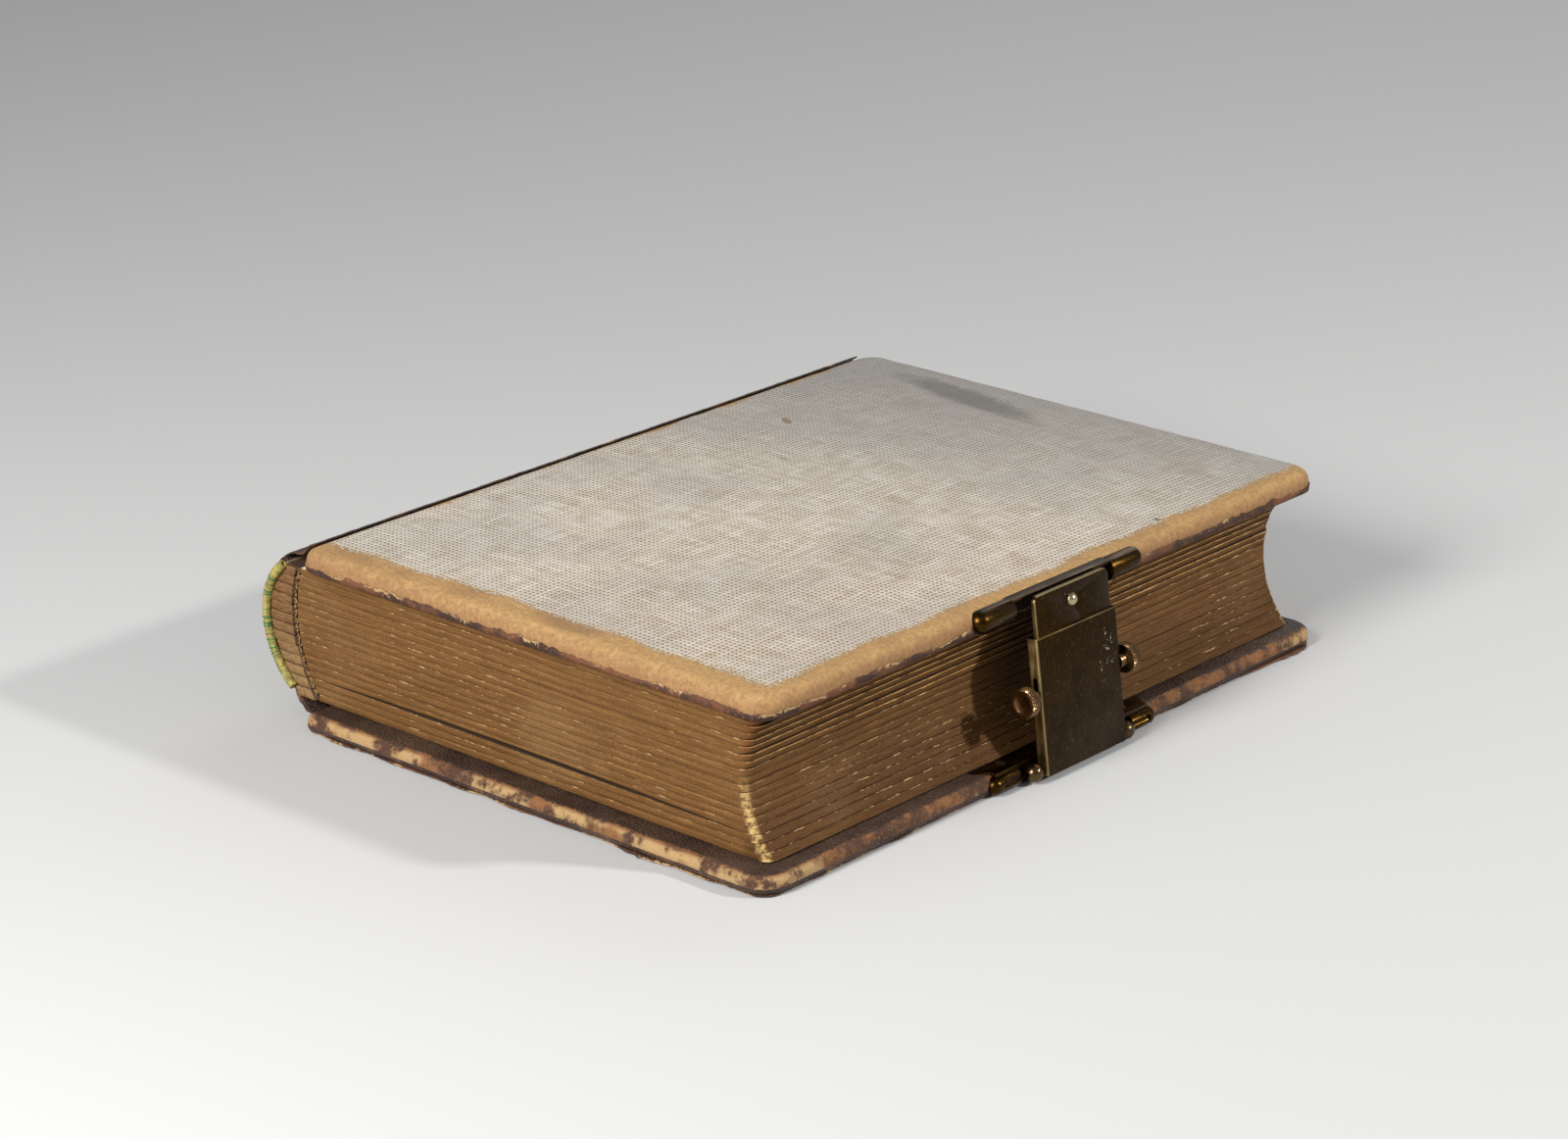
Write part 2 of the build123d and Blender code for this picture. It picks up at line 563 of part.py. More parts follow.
BALL_REACH = SLEEVE_WIDTH / 2 + BALL_CLEARANCE + BALL_RADIUS
with BuildPart() as hinge_pin:
    with BuildSketch(PIN_PLANE):
        Circle(PIN_RADIUS)
    extrude(amount=BALL_REACH, both=True)
    with Locations((PIN_X, CLASP_Y - BALL_REACH, PIN_Z)):
        Sphere(BALL_RADIUS)
hinge_pin.part.label = "hinge_pin"
export_step(hinge_pin.part, "parts/hinge_pin.step")

with BuildPart() as pin_finial:
    with Locations((PIN_X, CLASP_Y + BALL_REACH, PIN_Z)):
        Sphere(BALL_RADIUS)
    add(hinge_pin.part, mode=Mode.SUBTRACT)
pin_finial.part.label = "pin_finial"
export_step(pin_finial.part, "parts/pin_finial.step")

# Hasp: it stands on the hinge pin and leans in towards the racked front cover
OUTWARD = (cos(radians(HASP_LEAN)), 0, sin(radians(HASP_LEAN)))
FACE_PLANE = Plane(origin=(PIN_X, CLASP_Y, PIN_Z), x_dir=(0, 1, 0), z_dir=OUTWARD)
SIDE_PLANE = Plane(origin=(PIN_X, CLASP_Y, PIN_Z), x_dir=OUTWARD, z_dir=(0, -1, 0))
SLEEVE_FRONT = SLEEVE_BACK + SLEEVE_DEPTH
SLEEVE_MIDDLE = (SLEEVE_BACK + SLEEVE_FRONT) / 2
CAVITY_WIDTH = SLEEVE_WIDTH - 2 * SHEET


def upright_slab(width, foot, top, back, front, mode=Mode.ADD):
    """A slab that stands in the hasp's own frame, between two heights and two depths."""
    with BuildSketch(FACE_PLANE.offset(back)) as section:
        with Locations((0, (foot + top) / 2)):
            Rectangle(width, top - foot)
    extrude(section.sketch, amount=front - back, mode=mode)


with BuildPart() as sleeve:
    upright_slab(SLEEVE_WIDTH, SLEEVE_FOOT, SLEEVE_TOP, SLEEVE_BACK, SLEEVE_FRONT)
    fillet(sleeve.edges().filter_by(Axis((0, 0, 0), FACE_PLANE.y_dir)), SLEEVE_EDGE_ROUND)
    upright_slab(CAVITY_WIDTH, SLEEVE_FLOOR + SLEEVE_FLOOR_THICKNESS, 2 * SLEEVE_TOP, SLEEVE_BACK + SHEET,
                 SLEEVE_FRONT - SHEET, Mode.SUBTRACT)
    upright_slab(CAVITY_WIDTH, 2 * SLEEVE_FOOT, SLEEVE_FLOOR, 2 * SLEEVE_BACK, SLEEVE_FRONT - SHEET, Mode.SUBTRACT)
    with BuildSketch(SIDE_PLANE):
        Circle(PIN_RADIUS + PIN_CLEARANCE)
        with Locations((SLEEVE_MIDDLE, CROSS_PIN_HEIGHT + TONGUE_TRAVEL / 2)):
            SlotCenterToCenter(TONGUE_TRAVEL, 2 * (CROSS_PIN_RADIUS + SLOT_CLEARANCE), rotation=90)
    extrude(amount=SLEEVE_WIDTH, both=True, mode=Mode.SUBTRACT)
sleeve.part.label = "sleeve"
export_step(sleeve.part, "parts/sleeve.step")

TONGUE_FRONT = SLEEVE_FRONT - SHEET - TONGUE_FRONT_CLEARANCE
EYE_RADIUS = SLEEVE_DEPTH / 2 - SHEET - EYE_CLEARANCE
with BuildPart() as tongue:
    with BuildSketch(SIDE_PLANE):
        with Locations((TONGUE_FRONT - TONGUE / 2, (CROSS_PIN_HEIGHT + TONGUE_TOP) / 2)):
            Rectangle(TONGUE, TONGUE_TOP - CROSS_PIN_HEIGHT)
        with Locations((SLEEVE_MIDDLE, CROSS_PIN_HEIGHT)):
            Circle(EYE_RADIUS)
            Circle(CROSS_PIN_RADIUS, mode=Mode.SUBTRACT)
    extrude(amount=TONGUE_WIDTH / 2, both=True)
    top_corners = tongue.edges().filter_by(Axis((0, 0, 0), OUTWARD)).group_by(Axis.Z)[-1]
    fillet(top_corners, TONGUE_CORNER)
    with BuildSketch(FACE_PLANE.offset(TONGUE_FRONT)):
        with Locations((0, STUD_HEIGHT)):
            Circle(STUD_SHANK)
    extrude(amount=-TONGUE, mode=Mode.SUBTRACT)
tongue.part.label = "tongue"
export_step(tongue.part, "parts/tongue.step")

with BuildPart() as tongue_stud:
    with BuildSketch(SIDE_PLANE):
        with BuildLine():
            face = (TONGUE_FRONT, STUD_HEIGHT + STUD_RADIUS)
            crown = (TONGUE_FRONT + STUD_DOME, STUD_HEIGHT)
            cap_radius = (STUD_RADIUS ** 2 + STUD_DOME ** 2) / (2 * STUD_DOME)
            side = (TONGUE_FRONT + STUD_DOME - cap_radius + cap_radius * 0.9,
                    STUD_HEIGHT + cap_radius * sqrt(1 - 0.9 ** 2))
            ThreePointArc(crown, side, face)
            Polyline(face, (TONGUE_FRONT, STUD_HEIGHT + STUD_SHANK),
                     (TONGUE_FRONT - TONGUE, STUD_HEIGHT + STUD_SHANK), (TONGUE_FRONT - TONGUE, STUD_HEIGHT), crown)
        make_face()
    stud_point = SIDE_PLANE.from_local_coords((0, STUD_HEIGHT, 0))
    revolve(axis=Axis(stud_point, OUTWARD))
tongue_stud.part.label = "tongue_stud"
export_step(tongue_stud.part, "parts/tongue_stud.step")

# Knurled knobs on the cross pin, with which the tongue is drawn up
CROSS_PLANE = Plane(
    origin=SIDE_PLANE.from_local_coords((SLEEVE_MIDDLE, CROSS_PIN_HEIGHT, 0)), x_dir=OUTWARD, z_dir=(0, -1, 0)
)
KNOB_START = SLEEVE_WIDTH / 2 + KNOB_GAP
KNOB_FACE = KNOB_START + KNOB_NECK + KNOB_THICKNESS
with BuildPart() as cross_pin:
    with BuildSketch(CROSS_PLANE):
        Circle(CROSS_PIN_RADIUS)
    extrude(amount=KNOB_FACE - KNOB_DISH_DEPTH / 2, both=True)
cross_pin.part.label = "cross_pin"
export_step(cross_pin.part, "parts/cross_pin.step")

for name, side in (("tail_knob", 1), ("head_knob", -1)):
    with BuildPart() as knob:
        with BuildSketch(CROSS_PLANE.offset(side * KNOB_START)):
            Circle(KNOB_NECK_RADIUS)
        extrude(amount=side * KNOB_NECK)
        with BuildSketch(CROSS_PLANE.offset(side * (KNOB_START + KNOB_NECK))):
            Circle(KNOB_RADIUS)
            with PolarLocations(KNOB_RADIUS, KNURL_COUNT):
                Rectangle(KNURL_DEPTH * 1.4, KNURL_DEPTH * 1.4, rotation=45, mode=Mode.SUBTRACT)
        extrude(amount=side * KNOB_THICKNESS)
        dish = CROSS_PLANE.from_local_coords((0, 0, side * (KNOB_FACE - KNOB_DISH_DEPTH + KNOB_DISH_RADIUS)))
        with Locations(dish):
            Sphere(KNOB_DISH_RADIUS, mode=Mode.SUBTRACT)
        with BuildSketch(CROSS_PLANE):
            Circle(CROSS_PIN_RADIUS)
        extrude(amount=2 * KNOB_FACE, both=True, mode=Mode.SUBTRACT)
    knob.part.label = name
    export_step(knob.part, "parts/" + name + ".step")
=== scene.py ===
from math import atan2, cos, hypot, pi, radians, sin

import bmesh
import bpy
from bpy.props import FloatProperty, FloatVectorProperty, IntProperty, PointerProperty
from mathutils import Matrix, Vector, noise


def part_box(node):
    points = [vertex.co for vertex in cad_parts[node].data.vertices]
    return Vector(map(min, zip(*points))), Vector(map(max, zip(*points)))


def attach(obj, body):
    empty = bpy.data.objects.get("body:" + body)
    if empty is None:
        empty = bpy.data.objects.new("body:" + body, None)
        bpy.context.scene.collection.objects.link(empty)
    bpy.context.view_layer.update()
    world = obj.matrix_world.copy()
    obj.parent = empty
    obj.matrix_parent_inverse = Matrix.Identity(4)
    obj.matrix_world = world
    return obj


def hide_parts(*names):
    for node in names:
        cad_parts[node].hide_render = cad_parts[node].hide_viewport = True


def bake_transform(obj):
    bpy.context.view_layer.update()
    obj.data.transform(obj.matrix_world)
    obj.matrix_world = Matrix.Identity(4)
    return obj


bl_info = {
    "name": "Antique Photo Album",
    "version": (1, 0, 0),
    "blender": (4, 5, 0),
    "location": "3D View > Sidebar > Album",
    "description": "Dresses a small antique photo album: worn covers, gilt leaves, spine and brass clasp",
    "category": "Object",
}

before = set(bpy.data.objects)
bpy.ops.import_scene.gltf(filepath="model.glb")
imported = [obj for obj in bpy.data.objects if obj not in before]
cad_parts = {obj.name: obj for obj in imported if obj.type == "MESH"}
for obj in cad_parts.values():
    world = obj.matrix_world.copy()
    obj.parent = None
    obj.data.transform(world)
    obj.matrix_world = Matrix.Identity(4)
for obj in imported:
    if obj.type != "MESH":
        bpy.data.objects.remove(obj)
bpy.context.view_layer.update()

MM = 0.001


def node_box(name):
    """Lowest and highest corner of a CAD node, in millimetres."""
    low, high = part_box(name)
    return low * 1000, high * 1000


# Spine section in X and Z, millimetres: where the leather bulges most and where it meets the two folds
SPINE_BULGE = (-69.6, 18.5)
SPINE_TOP = (-63.8, 29.6)
SPINE_FOOT = (-62.3, 4.5)
STUB_DEPTH = 1.1
BAND_DEPTH = {"head_endband": 1.9, "tail_endband": 0.9}
LEAF_CORNER = 2.2
# Fore-edge of the leaves: ends of its arc in X and Z, and how far it is hollowed
FORE_FOOT, FORE_HEAD, FORE_HOLLOW = (51.0, 3.95), (48.5, 28.43), 4.2
# Three points in X and Z of the line where the leaves meet their stubs
SEAM = ((-60.2, 28.43), (-61.7, 18.5), (-56.4, 3.95))
LOOSE_LEAVES = 7
SPLIT_LEAF, SPLIT_OPENING = 3, 0.75
STRIP_DEPTH = 2.0
STUB_COUNT = 13
# Corner radii of the covers: spine at the tail, spine at the head, fore-edge
FRONT_CORNERS, BACK_CORNERS = (3.2, 5.0, 5.0), (1.4, 1.4, 5.0)
RIM_STEP = 0.35
# Steps of a quarter turn, of the leaves' outline at tail and head, along the fore-edge, and up the core
QUARTER_STEPS, SIDE_STEPS, FORE_STEPS, CORE_STEPS = 12, 110, 140, 40
SHEET_COLUMNS = 150
BAND_STEPS, CRUMB_STEPS = 60, 60
FLOOR_HALF = 3000
# Name, place in metres, size and power of each lamp
LAMPS = (
    ("key", (0.04, -0.66, 0.40), 0.30, 8.2),
    ("side", (0.62, 0.30, 0.42), 0.06, 4.6),
    ("back", (-0.25, 0.75, 0.60), 0.6, 1.4),
)
# Order of the corners in a face of a grid
UPRIGHT, FLIPPED, CROSSWISE = (0, 1, 3, 2), (2, 3, 1, 0), (0, 2, 3, 1)
# Stains on the cloth and its border: centre, reach, turn, strength and colour
CLOTH_STAINS = (
    ((-24, 70, 33), (25, 5.2, 60), 0.17, 0.62, (0.10, 0.095, 0.09)),
    ((33, 64, 33), (5.5, 5.5, 60), 0.0, 0.22, (0.22, 0.16, 0.10)),
    ((46, 38, 33), (1.0, 0.7, 60), 0.0, 0.8, (0.05, 0.04, 0.04)),
    ((-41, 36, 33), (2.6, 1.1, 60), 0.5, 0.75, (0.16, 0.10, 0.05)),
    ((-26, 18, 33), (1.8, 1.0, 60), 0.2, 0.5, (0.20, 0.13, 0.07)),
    ((20, -10, 33), (16, 10, 60), 0.6, 0.16, (0.16, 0.12, 0.09)),
)
BORDER_STAINS = (((3, -69, 33), (10, 3.4, 60), 0.05, 0.6, (0.19, 0.105, 0.05)),)


def spine_point(depth, turn):
    """A point of the rounded spine: turn runs from -1 at the foot to 1 at the top, depth goes inwards."""
    end = SPINE_TOP if turn >= 0 else SPINE_FOOT
    across, up = end[0] - SPINE_BULGE[0], end[1] - SPINE_BULGE[1]
    radius = (across ** 2 + up ** 2) / (2 * across)
    centre = SPINE_BULGE[0] + radius
    angle = atan2(up, centre - end[0]) * abs(turn)
    return centre - (radius - depth) * cos(angle), SPINE_BULGE[1] + (radius - depth) * sin(angle)


# Settings a user would change


def colour_setting(name, description, default):
    """A colour, given as red, green and blue."""
    return FloatVectorProperty(name=name, description=description, subtype="COLOR", size=4, default=(*default, 1))


def length_setting(name, description, default):
    """A length in metres."""
    return FloatProperty(name=name, description=description, default=default, unit="LENGTH", subtype="DISTANCE")


class ClothSettings(bpy.types.PropertyGroup):
    """The open cloth that the worn leather has bared on the front cover."""

    pitch: FloatProperty(name="Thread pitch", description="Distance between threads, in millimetres", default=1.0)
    thread: colour_setting("Thread", "Colour of the threads", (0.58, 0.535, 0.465))
    between: colour_setting("Between threads", "Colour seen between the threads", (0.20, 0.128, 0.068))
    board: colour_setting("Bare board", "Colour of the board where the cloth is gone", (0.43, 0.262, 0.108))


class LeatherSettings(bpy.types.PropertyGroup):
    """The leather of the covers and spine."""

    grain: FloatProperty(name="Grain", description="Size of one grain of the leather, in millimetres", default=0.75)
    dark: colour_setting("Leather", "Colour of sound leather", (0.038, 0.020, 0.014))
    worn: colour_setting("Worn leather", "Colour where the grain is rubbed away", (0.19, 0.080, 0.027))
    torn: colour_setting("Torn leather", "Colour of the fibres where the leather is torn", (0.38, 0.245, 0.108))


class LeafSettings(bpy.types.PropertyGroup):
    """The card leaves with aged gilt edges."""

    count: IntProperty(name="Leaves", description="Number of card leaves", default=18, min=2)
    unevenness: length_setting("Unevenness", "How far leaves stand in or out", 0.00016)
    seed: IntProperty(name="Seed", description="Changes the unevenness", default=7)
    gilt: colour_setting("Aged gilt", "Colour of the leaves' edges", (0.172, 0.081, 0.0245))
    page: colour_setting("Page", "Colour of the leaves' faces", (0.62, 0.54, 0.40))


class BandSettings(bpy.types.PropertyGroup):
    """The stitched endbands at the head and tail of the spine."""

    thread_radius: length_setting("Thread", "Radius of the silk thread", 0.00026)
    yellow: colour_setting("Yellow silk", "First colour of the silk", (0.37, 0.30, 0.075))
    green: colour_setting("Green silk", "Second colour of the silk", (0.085, 0.20, 0.045))


class BrassSettings(bpy.types.PropertyGroup):
    """The aged brass of the clasp."""

    brass: colour_setting("Brass", "Colour of the aged brass", (0.034, 0.0165, 0.0028))
    # The rubbed colour also paints a highlight along two edges of the clasp's plates
    rubbed: colour_setting("Rubbed brass", "Colour where handling keeps it bright", (0.50, 0.36, 0.16))
    copper: colour_setting("Knobs", "Colour of the turned knobs", (0.20, 0.110, 0.048))
    edge: length_setting("Edge rounding", "Radius on the fittings' edges", 0.00007)


class StageSettings(bpy.types.PropertyGroup):
    """Floor, lamps and camera."""

    floor: colour_setting("Floor", "Colour of the floor", (0.50, 0.496, 0.488))
    lens: FloatProperty(name="Lens", description="Focal length of the camera in millimetres", default=96.7)
    azimuth: FloatProperty(name="Azimuth", description="Camera's turn about the album", default=radians(41.61),
                           unit="ROTATION", subtype="ANGLE")
    elevation: FloatProperty(name="Elevation", description="Camera's height angle", default=radians(20.26),
                             unit="ROTATION", subtype="ANGLE")
    distance: length_setting("Distance", "Camera's distance", 0.7619)


# Node helpers


class Nodes:
    """A node tree with short ways to add to it. Each returns one output, but split and group return them all."""

    def __init__(self, tree):
        self.tree = tree

    def link(self, source, target):
        """Link two sockets."""
        self.tree.links.new(source, target)

    def node(self, kind, inputs=None, output=0, **settings):
        """Add a node; an input that is a socket is linked and any other value is set."""
        node = self.tree.nodes.new(kind)
        for key, value in settings.items():
            setattr(node, key, value)
        for key, value in (inputs or {}).items():
            if isinstance(value, bpy.types.NodeSocket):
                self.link(value, node.inputs[key])
            else:
                node.inputs[key].default_value = value
        return node.outputs[output]

    def calc(self, operation, *values):
        """Math node."""
        return self.node("ShaderNodeMath", dict(enumerate(values)), operation=operation)

    def times(self, *values):
        """Product of two values."""
        return self.calc("MULTIPLY", *values)

    def plus(self, *values):
        """Sum of two values."""
        return self.calc("ADD", *values)

    def minus(self, *values):
        """Difference of two values."""
        return self.calc("SUBTRACT", *values)

    def times_plus(self, *values):
        """First times second plus third."""
        return self.calc("MULTIPLY_ADD", *values)

    def vector(self, operation, *values, output=0):
        """Vector math node."""
        return self.node("ShaderNodeVectorMath", dict(enumerate(values)), output, operation=operation)

    def ramp(self, value, low, high, to_low=0.0, to_high=1.0):
        """Smooth change from one value to another as the input passes between two levels."""
        inputs = {"Value": value, "From Min": low, "From Max": high, "To Min": to_low, "To Max": to_high}
        return self.node("ShaderNodeMapRange", inputs, "Result", interpolation_type="SMOOTHSTEP")

    def mix(self, factor, *colours):
        """Mix of two colours; a plain colour may leave out its alpha."""
        first, second = ((*c, 1) if isinstance(c, tuple) and len(c) == 3 else c for c in colours)
        return self.node("ShaderNodeMix", {0: factor, 6: first, 7: second}, 2, data_type="RGBA")

    def cloudy(self, vector, scale, detail=3.0, roughness=0.55, stretch=None):
        """Noise about 0.5, with features of about 1 / scale millimetres."""
        if stretch:
            vector = self.vector("MULTIPLY", vector, stretch)
        inputs = {"Vector": vector, "Scale": scale, "Detail": detail, "Roughness": roughness}
        return self.node("ShaderNodeTexNoise", inputs, "Fac")

    def split(self, vector):
        """The three parts of a vector."""
        return self.node("ShaderNodeSeparateXYZ", {0: vector}).node.outputs

    def attribute(self, name):
        """A number stored on the mesh."""
        return self.node("ShaderNodeAttribute", None, "Fac", attribute_name=name)

    def group(self, build, inputs):
        """Outputs of a shared group, which is built the first time."""
        name = build.__doc__.split(":")[0]
        if name not in bpy.data.node_groups:
            build(name)
        return self.node("ShaderNodeGroup", inputs, node_tree=bpy.data.node_groups[name]).node.outputs


class Shading(Nodes):
    """The node tree of a new material, with object coordinates in millimetres as its place."""

    def __init__(self, name, roughness=0.6, metallic=0.0, specular=0.5):
        self.material = bpy.data.materials.new(name)
        self.material.use_nodes = True
        super().__init__(self.material.node_tree)
        self.shader = self.tree.nodes["Principled BSDF"].inputs
        for key, value in (("Roughness", roughness), ("Metallic", metallic), ("Specular IOR Level", specular)):
            self.shader[key].default_value = value
        coordinates = self.node("ShaderNodeTexCoord", None, "Object")
        self.place = self.node("ShaderNodeVectorMath", {0: coordinates, "Scale": 1000.0}, operation="SCALE")

    def shade(self, colour, height, depth, strength, **values):
        """Link the shader's inputs and return the material. The bumps are height times depth, in millimetres."""
        normal = self.node("ShaderNodeBump", {"Height": height, "Distance": depth * MM, "Strength": strength})
        for key, value in {"Base Color": colour, "Normal": normal, **values}.items():
            self.link(value, self.shader[key])
        return self.material


FLOAT, VECTOR, INTEGER = "NodeSocketFloat", "NodeSocketVector", "NodeSocketInt"
GEOMETRY, MATERIAL = "NodeSocketGeometry", "NodeSocketMaterial"


def new_group(name, inputs, outputs, kind="ShaderNodeTree"):
    """An empty node group. Each input is given as its default value, or as its socket type if it has none."""
    tree = bpy.data.node_groups.new(name, kind)
    types = {float: FLOAT, int: INTEGER, tuple: VECTOR}
    for label, value in inputs.items():
        socket = tree.interface.new_socket(label, in_out="INPUT", socket_type=types.get(type(value), value))
        if type(value) in types:
            socket.default_value = value
    result = FLOAT if kind == "ShaderNodeTree" else GEOMETRY
    for label in outputs:
        tree.interface.new_socket(label, in_out="OUTPUT", socket_type=result)
    return Nodes(tree), tree.nodes.new("NodeGroupInput").outputs, tree.nodes.new("NodeGroupOutput").inputs


def woven_threads(name):
    """Woven threads: an open plain weave with uneven threads."""
    tree, given, out = new_group(name, {"Vector": VECTOR, "Pitch": 1.0}, ("Threads", "Height", "Streak"))
    wobble = tree.node("ShaderNodeTexNoise", {"Vector": given["Vector"], "Scale": 0.16, "Detail": 2.0}, "Color")
    shift = tree.vector("MULTIPLY", wobble, (1.1, 1.1, 0))
    x, y = tree.split(tree.vector("ADD", given["Vector"], shift))[:2]
    masks, streaks = [], []
    for across, other in ((x, y), (y, x)):
        count = tree.calc("DIVIDE", across, given["Pitch"])
        offset = tree.calc("ABSOLUTE", tree.minus(tree.calc("FRACT", count), 0.5))
        line = tree.node("ShaderNodeCombineXYZ", {0: tree.calc("FLOOR", count), 1: tree.times(other, 0.09)})
        uneven = tree.cloudy(line, 1.0, 3.0, 0.5)
        width = tree.ramp(uneven, 0.25, 0.75, 0.20, 0.36)
        masks.append(tree.ramp(tree.minus(width, offset), -0.10, 0.10))
        streaks.append(uneven)
    either = tree.calc("MAXIMUM", *masks)
    tree.link(either, out["Threads"])
    tree.link(tree.plus(either, tree.times(*masks)), out["Height"])
    tree.link(tree.times(tree.plus(*streaks), 0.5), out["Streak"])


def leather_grain(name):
    """Leather grain: pebbles parted by fine creases."""
    tree, given, out = new_group(name, {"Vector": VECTOR, "Size": 0.8}, ("Height", "Crease"))
    scale = tree.calc("DIVIDE", 1.0, given["Size"])
    bend = tree.node("ShaderNodeTexNoise", {"Vector": given["Vector"], "Scale": scale, "Detail": 2.0}, "Color")
    warped = tree.vector("MULTIPLY_ADD", bend, (0.5, 0.5, 0.5), given["Vector"])
    cells = tree.node("ShaderNodeTexVoronoi", {"Vector": warped, "Scale": scale}, "Distance",
                      feature="DISTANCE_TO_EDGE")
    fine = tree.cloudy(given["Vector"], 9.0, 3.0)
    tree.link(tree.plus(tree.ramp(cells, 0.0, 0.28), tree.times(fine, 0.35)), out["Height"])
    tree.link(tree.ramp(cells, 0.10, 0.0), out["Crease"])


def ragged_line(name):
    """Ragged line: a torn border where a distance passes zero."""
    inputs = {"Vector": VECTOR, "Distance": 0.0, "Sweep": 2.0, "Fray": 0.5}
    tree, given, out = new_group(name, inputs, ("Mask", "Rim"))
    wide = tree.minus(tree.cloudy(given["Vector"], 0.085, 2.0), 0.5)
    fine = tree.minus(tree.cloudy(given["Vector"], 1.4, 6.0, 0.75), 0.5)
    moved = tree.times_plus(wide, tree.times(given["Sweep"], 2.0), given["Distance"])
    moved = tree.times_plus(fine, tree.times(given["Fray"], 2.0), moved)
    tree.link(tree.ramp(moved, -0.12, 0.12), out["Mask"])
    tree.link(tree.times(tree.ramp(moved, -0.5, 0.0), tree.ramp(moved, 0.9, 0.0)), out["Rim"])


def soft_spot(name):
    """Soft spot: a stain or rub at one place."""
    inputs = {"Vector": VECTOR, "Centre": (0, 0, 0), "Reach": (5, 5, 50), "Turn": 0.0, "Uneven": 0.5}
    tree, given, out = new_group(name, inputs, ["Mask"])
    away = tree.vector("SUBTRACT", given["Vector"], given["Centre"])
    turned = tree.node("ShaderNodeVectorRotate", {"Vector": away, "Angle": given["Turn"]}, rotation_type="Z_AXIS")
    reach = tree.vector("LENGTH", tree.vector("DIVIDE", turned, given["Reach"]), output="Value")
    uneven = tree.minus(tree.cloudy(given["Vector"], 0.35, 4.0), 0.5)
    tree.link(tree.ramp(tree.times_plus(uneven, given["Uneven"], reach), 1.0, 0.45), out["Mask"])


def tarnish(name):
    """Tarnish: clouds, fine scratches and specks of handled metal."""
    tree, given, out = new_group(name, {"Vector": VECTOR, "Size": 4.0}, ("Clouds", "Scratches", "Specks"))
    scale = tree.calc("DIVIDE", 1.0, given["Size"])
    tree.link(tree.cloudy(given["Vector"], scale, 5.0, 0.62), out["Clouds"])
    lines = tree.cloudy(given["Vector"], 1.0, 2.0, 0.5, (6.0, 6.0, 0.22))
    cross = tree.cloudy(given["Vector"], 1.0, 2.0, 0.5, (0.4, 0.5, 9.0))
    tree.link(tree.calc("MAXIMUM", tree.ramp(lines, 0.62, 0.74), tree.ramp(cross, 0.66, 0.76)), out["Scratches"])
    tree.link(tree.ramp(tree.cloudy(given["Vector"], 2.4, 4.0, 0.7), 0.64, 0.72), out["Specks"])


def scaled(colour, share):
    """A colour made darker or lighter."""
    return tuple(share * part for part in colour[:3])


# Materials


def front_board_material(cloth):
    """Open cloth on the front board, ragged towards its bare tan border."""
    tree = Shading("Bared cloth", 0.85, specular=0.25)
    place = tree.place

    def stained(colour, stains):
        for centre, reach, turn, strength, tint in stains:
            spot = tree.group(soft_spot, {"Vector": place, "Centre": centre, "Reach": reach, "Turn": turn})
            colour = tree.mix(tree.times(spot["Mask"], strength), colour, tint)
        return colour

    low, high = node_box("front_board")
    x, y = tree.split(place)[:2]
    sides = [(tree.minus(x, low.x), 2.7), (tree.minus(high.x, x), 5.2), (tree.minus(y, low.y), 6.9),
             (tree.minus(high.y, y), 1.0)]
    inside = None
    for distance, border in sides:
        distance = tree.minus(distance, border)
        inside = distance if inside is None else tree.calc("MINIMUM", inside, distance)
    weave = tree.group(woven_threads, {"Vector": place, "Pitch": cloth.pitch})
    frayed = tree.times_plus(weave["Threads"], 1.1, inside)
    line = tree.group(ragged_line, {"Vector": place, "Distance": frayed, "Sweep": 2.6, "Fray": 4.2})
    broad = tree.cloudy(place, 0.035, 4.0, 0.6)
    blotch = tree.cloudy(place, 0.16, 6.0, 0.65)

    threads = tree.mix(tree.ramp(weave["Streak"], 0.34, 0.66), (0.47, 0.405, 0.32), cloth.thread)
    threads = tree.mix(tree.ramp(broad, 0.42, 0.62, 0.0, 0.5), threads, (0.41, 0.39, 0.365))
    # Painted light: the threads are painted dimmer away from the near corner, as the light falls off towards the far
    # end
    painted_light_falloff = tree.ramp(tree.minus(x, y), -20.0, 110.0, 1.0, 0.80)
    shown = tree.times(weave["Threads"], tree.ramp(blotch, 0.22, 0.55, 0.76, 1.0))
    shown = tree.times(shown, painted_light_falloff)
    cloth_colour = tree.mix(shown, cloth.between, threads)
    # Painted shade: the cloth is painted greyer and darker towards the far end at the head and the spine
    away = tree.ramp(tree.times_plus(x, -0.35, y), -15.0, 95.0, 0.0, 0.72)
    cloth_colour = tree.mix(away, cloth_colour, (0.20, 0.195, 0.183))
    cloth_colour = stained(cloth_colour, CLOTH_STAINS)
    mottle = tree.cloudy(place, 1.1, 6.0, 0.8)
    bare = tree.mix(tree.ramp(mottle, 0.3, 0.7), (0.245, 0.138, 0.052), cloth.board)
    dirt = tree.ramp(tree.cloudy(place, 0.07, 5.0, 0.65), 0.5, 0.72, 0.0, 0.55)
    bare = tree.mix(dirt, bare, (0.22, 0.125, 0.055))
    rim_dirt = tree.ramp(tree.plus(tree.attribute("inset"), tree.times(mottle, 1.2)), 1.7, 0.4, 0.0, 0.5)
    bare = tree.mix(rim_dirt, bare, (0.20, 0.088, 0.042))
    bare = stained(bare, BORDER_STAINS)
    colour = tree.mix(line["Mask"], bare, cloth_colour)
    paste = tree.times(line["Rim"], 0.5)
    colour = tree.mix(tree.times(paste, line["Mask"]), colour, (0.50, 0.37, 0.20))
    thickness = tree.times(line["Mask"], tree.times_plus(weave["Height"], 0.9, 0.6))
    height = tree.plus(thickness, tree.times(tree.cloudy(place, 3.0, 6.0, 0.75), 0.6))
    return tree.shade(colour, height, 0.12, 0.9)


